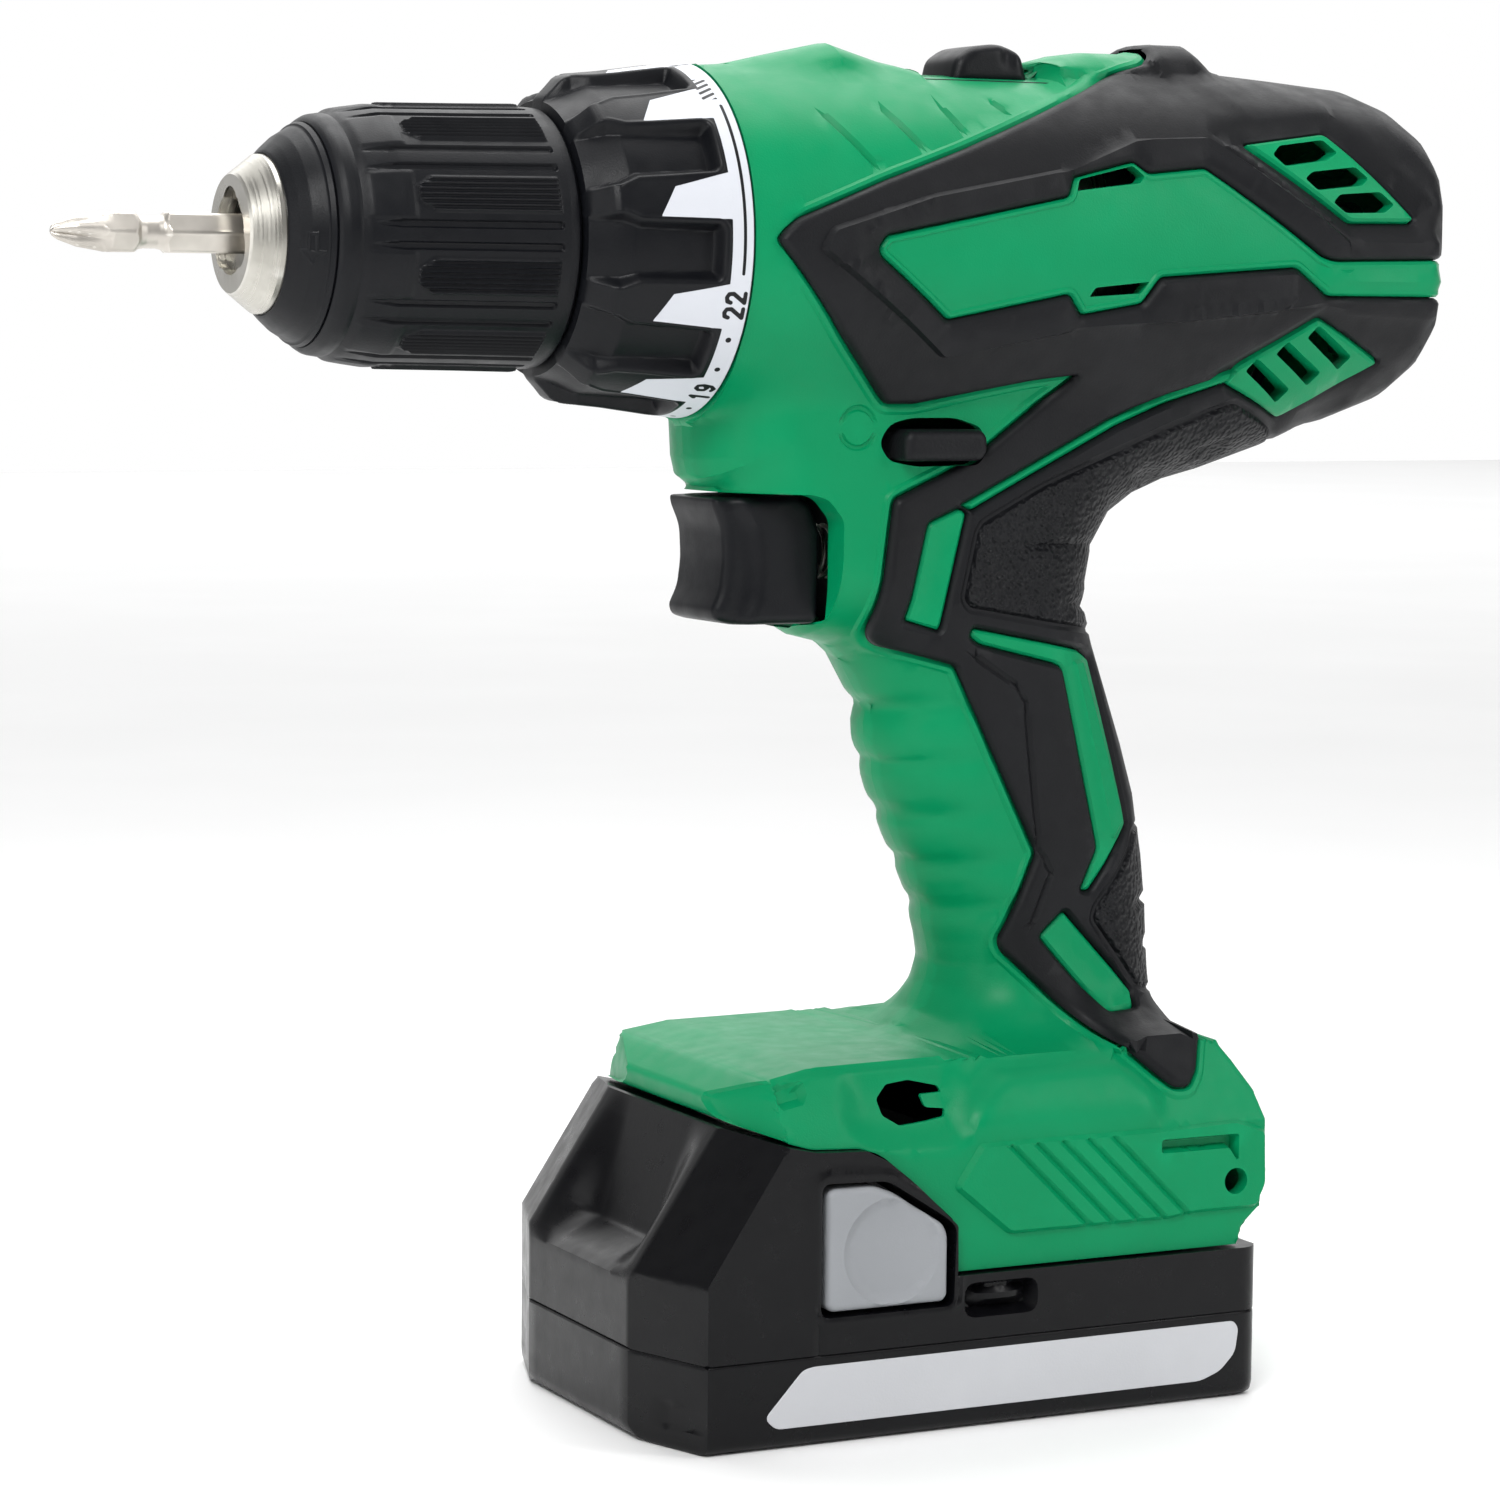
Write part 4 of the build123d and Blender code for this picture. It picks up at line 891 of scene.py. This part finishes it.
def ink_area(x, t):
    """The dark print: numbers, dots, the drill setting's arc and a hatched patch."""
    area = np.full(x.shape, -9.0)
    lines, dots = dial_lines()
    for centre, line in lines:
        mm = np.radians(away(t, centre)) * 29
        near = np.abs(mm) < 5
        if near.any():
            area[near] = np.maximum(area[near], strokes(x[near], mm[near], [line], 0.72))
    for centre in dots:
        area = np.maximum(area, 0.5 - np.hypot(x + 32.4, np.radians(away(t, centre)) * 29))
    arc = np.clip(np.abs(away(t, 71.8)) - 29.3, 0, None) * math.pi / 180 * 29
    area = np.maximum(area, 0.27 - np.hypot(x + 31.9, arc))
    hatch = away(t, 33)
    slanted = (np.radians(hatch) * 29 + (x + 33) * 0.5) % 1.4
    inside_hatch = np.minimum(1.3 - np.abs(x + 33.2), 3.2 - np.abs(np.radians(hatch) * 29))
    return np.maximum(area, np.minimum(inside_hatch, 0.35 - np.abs(slanted - 0.7)))


collar_xs = np.concatenate([np.linspace(-56.6, -46, 38), np.linspace(-45.8, -30.1, 72)])
turned_piece("torque_collar", collar_xs, collar_surface, lambda x, t: np.where(x < -54.8, 17.4, 22.0),
             "clutch", "collar_print", ("clutch_ring", "torque_scale_band"), 800,
             {"silver": silver_area, "ink": ink_area})

# ---- bit ----
bit_tip = -139.2


def bit_outer(x, t):
    hexagon = 3.175 / np.cos((t + math.pi / 6) % (math.pi / 3) - math.pi / 6)
    along = x - bit_tip
    shank = np.minimum(hexagon, 3.52)
    groove = np.interp(along, [12.6, 14.2, 15.2, 17.2, 18.2, 19.6], [4, 2.75, 2.55, 2.55, 2.75, 4])
    cone = np.interp(along, [0, 0.25, 1.2, 4, 8, 9], [0.35, 0.9, 1.5, 2.55, 3.2, 3.7])
    r = np.minimum(np.minimum(shank, groove), cone)
    flute = np.clip(1 - along / 9.5, 0, 1) ** 0.6
    wings = np.abs(np.cos(2 * (t + 0.35))) ** 1.3
    return r * (1 - 0.52 * flute * (1 - wings))


bit_xs = bit_tip + np.concatenate([np.linspace(0, 21, 110), np.linspace(21.5, 65, 12)])
turned_piece("screwdriver_bit_steel", bit_xs, bit_outer, lambda x, t: 0.05, "bit", "bit_steel",
             "screwdriver_bit", 144)


# ======== pieces rolled from a side outline ========
def slab_piece(name, outline, half, roll_r, body, finish, node, spacing=1.0, relief=None, loops=(),
               one_side=None, rows=(0.08, 0.3, 0.7, 1.3)):
    """A closed piece with the outline and rounded sides, `half` from Y = 0. With one_side=(inner, side) it is
    flat at `inner` and rounded only on the outside of that side, -1 or 1."""
    extra = fill_points(outline, loops, spacing, [r for r in rows if r < roll_r + 0.8])
    p, tris = triangulate([(path, True) for path in (outline, *loops)], extra)
    tris = tris[inside(outline, p[tris].mean(1))]
    tris, (p,) = packed(tris, p)
    d = distance(closed_line(outline), p)
    y = half - roll_r * (1 - rolled(d, roll_r)) + (relief(p) if relief else 0)
    inner, side = one_side or (-y, -1)
    points = np.vstack([np.stack([p[:, 0], at + 0 * y, p[:, 1]], 1) for at in (side * y, side * inner)])
    new_object(name, points, closed_faces(tris, len(p), side), finish, body, node)


trigger_outline = rounded([(-12.5, 156), (-27.4, 155.7), (-27.2, 154.2), (-25.6, 150.5), (-25.3, 145),
    (-25.9, 140.2), (-27.5, 136.9), (-26.9, 135.2), (-24, 134.3), (-8.2, 134.3), (-7.8, 150), (-10, 155)],
    1.4, 0.9)
trigger_crease = np.array([(-23.6, 155), (-20.8, 150.5), (-19.8, 144), (-20.2, 139.5), (-21.6, 135)], float)


def trigger_relief(p):
    """The finger side is drawn in ahead of a curved crease."""
    d = distance([trigger_crease], p)
    ahead = np.interp(p[:, 1], trigger_crease[::-1, 1], trigger_crease[::-1, 0]) - p[:, 0]
    return -1.3 * ease(-1.2, 1.8, ahead) - 0.25 * (1 - ease(0, 1.2, d))


slab_piece("trigger_cap", trigger_outline, 10.8, 1.6, "trigger", "black_plastic", "trigger",
           1.0, trigger_relief)
lever_outline = rounded([(2.6, 162), (17, 162), (18.2, 163.4), (18.2, 166), (17, 167.3), (3.4, 167.3),
    (2.3, 166), (2.3, 163.4)], 1.8, 0.6)
slab_piece("reversing_lever_bar", lever_outline, 21.9, 1.5, "lever", "grainy_black", "reversing_lever",
           0.7)
knob_outline = rounded([(18.6, 226), (19.6, 230.3), (22.6, 232.3), (26.5, 232.9), (29.5, 232.8),
    (32.4, 231.2), (33.9, 226)], 1.2, 0.6)


def knob_relief(p):
    return -0.8 * np.exp(-((p[:, 0] - 29.6) / 1.2) ** 2) * ease(228, 231, p[:, 1])


slab_piece("speed_selector_knob", knob_outline, 6.7, 1.8, "selector", "black_plastic", None,
           0.7, knob_relief)
plate_outline = rounded([(6.6, 224.5), (40.9, 224.5), (40.9, 226.5), (6.6, 226.5)], 0.3, 1.0)
slab_piece("speed_selector_plate", plate_outline, 8.9, 0.3, "selector", "black_plastic", "speed_selector",
           1.2)


# ======== springs ========
def spring_piece(name, node, wire, pitch):
    """A coil in the place of the CAD node's, fixed to the root body."""
    low, high = (np.array(corner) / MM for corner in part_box(node))
    mean_r = (high[2] - low[2]) / 2 - wire
    centre_z = (high[2] + low[2]) / 2
    length = high[0] - low[0] - 2 * wire
    turns, sides = length / pitch, 10
    t = np.linspace(0, turns * 2 * math.pi, int(turns * 28) + 1)
    out = np.stack([np.zeros(len(t)), np.sin(t), np.cos(t)], 1)
    path = out * mean_r + np.stack([low[0] + wire + length * t / t[-1], 0 * t, centre_z + 0 * t], 1)
    around = np.linspace(0, 2 * math.pi, sides, endpoint=False)
    section = np.cos(around)[:, None] * out[:, None] + np.sin(around)[:, None] * (1, 0, 0)
    verts = (path[:, None] + wire * section).reshape(-1, 3)
    last = (len(t) - 1) * sides
    faces = [(a + j, a + (j + 1) % sides, a + sides + (j + 1) % sides, a + sides + j)
             for a in range(0, last, sides) for j in range(sides)]
    faces += [list(reversed(range(sides))), list(range(last, last + sides))]
    piece = new_object(name, verts, faces, "steel_satin", "root", node)
    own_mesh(piece)


spring_piece("clutch_spring_coil", "clutch_spring", 1.1, 2.4)
spring_piece("trigger_spring_coil", "trigger_spring", 0.4, 1.6)


# ======== battery ========
pack_side = [(-47.7, 15.25), (-47.7, 26.5), (-47.2, 28.5), (-31.9, 51.6), (-21.6, 49.2), (-12.4, 48.8),
    (-8.6, 46.9), (-3, 42.4), (4.9, 34.9), (5, 26.3), (65.3, 26.3), (65.3, 15.25)]
low_side = [(-47.7, 15.1), (65.3, 15.1), (65.3, 2.4), (64.4, 0.7), (62.8, 0), (-45.2, 0), (-46.9, 0.7),
    (-47.7, 2.4)]
button_frame = rounded([(-20.6, 21.4), (4.2, 21.4), (4.6, 34.6), (2.6, 36.4), (-8.4, 43.4), (-20.6, 43.8)],
    1.6, 1.0)
latch_slot = rounded([(6.4, 19.0), (6.4, 24.8), (20.4, 24.8), (20.4, 19.0)], 2.2, 1.0)


def pack_half(p):
    x, z = p[:, 0], p[:, 1]
    y = np.minimum(38.3, 38.5 + (x + 41.4) * 18 / 6.3)
    y = np.minimum(y, 38.5 + (392.4 * (x + 41.4) - 259.2 * (z - 28.5)) / 137.3)
    corner = 65.35 - x
    y = y - 4 * (1 - rolled(corner, 4)) - 2.4 * (1 - rolled(z, 2.4))
    return np.clip(y, 14, 38.3)


def pack_relief(p):
    x, z = p[:, 0], p[:, 1]
    frame_depth = depth_in(button_frame, p)
    h = -8.3 * ease(-0.1, 0.35, frame_depth)
    h += 0.16 * bump(frame_depth, -1.6, -0.5, 0.4)
    band = distance([np.array([(-21, 15), (-21, 22.5), (-21.2, 43.5), (-24, 49)], float)], p)
    h -= 0.35 * (1 - ease(0.1, 0.5, band)) * (z < 23)
    step_line = distance([np.array([(5.2, 15), (5.2, 26.4)], float)], p)
    h -= 0.3 * (1 - ease(0.1, 0.45, step_line))
    slot_depth = depth_in(latch_slot, p)
    bump_in = np.clip(1 - ((x - 13.4) / 5.4) ** 2 - ((z - 22.2) / 1.9) ** 2, 0, 1)
    h -= 2.6 * ease(-0.1, 1.2, slot_depth) - 2.2 * np.sqrt(bump_in)
    return h


def front_scoop(points):
    """The hollow in the nose's sloping front, drawn in along the slope's normal."""
    z = points[:, 2]
    along = np.interp(z, [26.8, 34.5, 51.4], [0, 1, 0])
    y = np.abs(points[:, 1])
    side = 1 - ease(10 + 2 * np.clip((z - 34) / 16, 0, 1), 20, y)
    d = 5.8 * along * side * (points[:, 0] < -28)
    return points + d[:, None] * np.array([0.835, 0, -0.55])


def banded_body(name, outline, relief, loops, line, spacing, across, bend, node):
    """A battery case: two side sheets and a band between them, `across` quads wide, that `bend` may shape."""
    loop = rounded(outline, 0.3, 0.8)
    extra = fill_points(loop, loops + [line], spacing, (0.12, 0.4, 0.9, 1.6, 2.5, 3.6))
    p, tris = triangulate([(path, True) for path in (loop, *loops)] + [(line, False)], extra)
    tris = tris[inside(loop, p[tris].mean(1))]
    tris, (p,) = packed(tris, p)
    y = pack_half(p) + relief(p)
    n = len(p)
    left = np.stack([p[:, 0], -y, p[:, 1]], 1)
    right = left * (1, -1, 1)
    verts, faces = [left, right], both_sides(tris, n)
    edges = open_edges(tris)
    ring = sorted({v for e in edges for v in e})
    t = np.linspace(0, 1, across + 1)[1:-1]
    columns, total = {}, 2 * n
    for v in ring:
        row = left[v] + (right[v] - left[v]) * t[:, None]
        verts.append(bend(row) if bend else row)
        columns[v] = [v] + list(range(total, total + len(t))) + [v + n]
        total += len(t)
    for a, b in edges:
        ca, cb = columns[a], columns[b]
        faces += [(cb[k], ca[k], ca[k + 1], cb[k + 1]) for k in range(across)]
    new_object(name, np.vstack(verts), faces, "black_gloss", "battery", node)


frame_loops = [moved_out(button_frame, by) for by in (-0.35, 0.1, 0.6, 1.1, 1.6)]
frame_loops += [moved_out(latch_slot, by) for by in (0.1, -0.5, -1.2)]
facet_edge = rounded([(-41.4, 15.6), (-41.4, 28.5), (-28.1, 48.6)], 0.0, 1.0, closed=False)
banded_body("battery_top", pack_side, pack_relief, frame_loops, facet_edge, 1.5, 48, front_scoop,
            "battery_upper_case")
front_notch = rounded([(-44.6, 3.6), (-42.4, 3.6), (-42.4, 7.6), (-44.6, 8.2)], 0.3, 0.8)


def low_relief(p):
    """The lower case's notch near its front, and its edge drawn in at the seam with the upper case."""
    seam = -0.35 * (1 - ease(0.0, 0.5, 15.1 - p[:, 1]))
    return seam - 0.6 * (depth_in(front_notch, p) > 0)


low_facet_edge = rounded([(-41.4, 0.4), (-41.4, 14.7)], 0.0, 1.0, closed=False)
banded_body("battery_bottom", low_side, low_relief, [front_notch], low_facet_edge, 2.2, 12, None,
            "battery_lower_case")

label_outline = rounded([(-29, 3.6), (-31, 5.6), (-24, 13.1), (-22, 13.5), (59.6, 13.6), (60.6, 12.2),
    (60, 8), (57, 5), (53, 3.6)], 1.2, 1.2)
button_side = rounded([(-19.5, 23), (-18.4, 22.1), (2.4, 22.1), (3.3, 23), (3.3, 33.4), (2.4, 35.3),
    (-7, 41.3), (-11, 42.9), (-18.4, 42.9), (-19.5, 42)], 1.2, 0.8)


dish_centre = (-7.4, 31.6)


def button_dish(p):
    r = np.hypot(*(p - dish_centre).T)
    return -0.85 * (1 - ease(7.9, 9.1, r)) - 0.5 * np.clip(1 - (r / 8) ** 2, 0, 1)


for side, name in ((-1, "left"), (1, "right")):
    slab_piece(f"label_plate_{name}", label_outline, 38.48, 0.12, "battery", "silver_print", None,
               2.5, one_side=(38.0, side), rows=(0.1, 0.4))
    slab_piece(f"battery_button_{name}_cap", button_side, 38.15, 1.1, f"button_{name}", "grey_button",
               f"battery_button_{name}", 0.8, button_dish,
               [circle(dish_centre, r, 60) for r in (9.1, 7.9)], (33.5, side))

rail_top, contact_floor = 40, 32.2
rail_left = [(-26, 26), (-26, 30), (-23.2, 30.4), (-23.2, 33.8), (-26, 34.2), (-26, 38.6), (-24.6, rail_top)]
rail_right = [(-y, z) for y, z in reversed(rail_left)]


def rail():
    """The rail that slides into the foot, with four contact slots open at its top and rear."""
    notches = [(s + y, z) for s in (-15, -5, 5, 15) for y, z in (
        (-1.5, rail_top), (-1.5, contact_floor), (1.5, contact_floor), (1.5, rail_top))]
    section = np.array(rail_left + notches + rail_right)
    solid = section.copy()
    solid[section[:, 1] == contact_floor] += (0, rail_top - 0.1 - contact_floor)
    small = (0.985, 0.99)
    verts, n = [], len(section)
    for x, ring in ((4.2, solid * small), (5.2, solid), (15.9, solid), (16.1, section), (56, section),
                    (56.8, section * small)):
        verts += [(x, y, z) for y, z in ring]
    last = len(verts) - n
    faces = [(a + j, a + n + j, a + n + (j + 1) % n, a + (j + 1) % n)
             for a in range(0, last, n) for j in range(n)]
    faces += [list(range(n)), [last + j for j in reversed(range(n))]]
    new_object("battery_rail", verts, faces, "black_plastic", "battery", None)


rail()

# ======== set and view ========
def make_floor(half_size, z, n=24):
    """A white floor of n by n points."""
    finish = Finish("studio_floor", (0.96, 0.96, 0.96), 0.75)
    finish.mottle(0.004, (0.975, 0.975, 0.975), 0.5).vary_roughness(0.01, 0.7, 0.85)
    u = np.linspace(-half_size, half_size, n)
    verts = [(x, y, z) for y in u for x in u]
    faces = [(a, a + 1, a + n + 1, a + n) for j in range(n - 1) for a in range(j * n, j * n + n - 1)]
    mesh = bpy.data.meshes.new("floor")
    mesh.from_pydata((np.array(verts) * MM).tolist(), [], faces)
    mesh.materials.append(finish.done())
    plane = linked("floor", mesh)


make_floor(4300, -0.02)


def soft_light(name, at, size, power, toward=(10, 0, 130)):
    data = bpy.data.lights.new(name, "AREA")
    data.shape = "RECTANGLE"
    data.size, data.size_y = size[0] * MM, size[1] * MM
    data.energy = power
    lamp = linked(name, data)
    lamp.location = Vector(at) * MM
    lamp.rotation_euler = (Vector(toward) - Vector(at)).to_track_quat("-Z", "Y").to_euler()


soft_light("key_light", (-500, -560, 760), (420, 320), 6.5)
soft_light("front_light", (-760, -200, 240), (120, 520), 0.8)
soft_light("rear_light", (520, -520, 420), (160, 620), 2.0)
soft_light("top_light", (60, 120, 800), (700, 420), 4.0)
soft_light("floor_light", (1400, 3400, 2600), (5000, 5000), 110, (1400, 3400, 0))

# The room is white behind the object, as the camera sees it, and dimmer on the camera's side.
world = bpy.data.worlds.new("studio")
world.use_nodes = True
sky = world.node_tree
aim = node_of(sky, "ShaderNodeVectorMath", operation="DOT_PRODUCT")
aim.inputs[1].default_value = (0.44, 0.89, 0.1)
sky.links.new(node_of(sky, "ShaderNodeTexCoord").outputs["Generated"], aim.inputs[0])
strength = map_range(sky, aim.outputs["Value"], (0.5, 0.93, 0.3, 1.0), "SMOOTHSTEP")
sky.links.new(strength, sky.nodes["Background"].inputs["Strength"])
sky.nodes["Background"].inputs["Color"].default_value = (1, 1, 1, 1)
bpy.context.scene.world = world
bpy.context.scene.view_settings.view_transform = "Standard"

camera_at = Vector((-352.06, -679.915, 186.062))
yaw, pitch, roll = 0.459351, 0.097196, 0.008292
forward = Vector((math.sin(yaw) * math.cos(pitch), math.cos(yaw) * math.cos(pitch), -math.sin(pitch)))
right = Vector((math.cos(yaw), -math.sin(yaw), 0))
up = right.cross(forward)
right, up = right * math.cos(roll) + up * math.sin(roll), up * math.cos(roll) - right * math.sin(roll)
data = bpy.data.cameras.new("camera")
data.sensor_width = 36
data.lens = 106.80984
data.clip_start, data.clip_end = 0.01, 20
camera = linked("camera", data)
columns = (right, up, -forward, camera_at * MM)
camera.matrix_world = Matrix([[column[i] for column in columns] for i in range(3)] + [(0, 0, 0, 1)])
bpy.context.scene.camera = camera
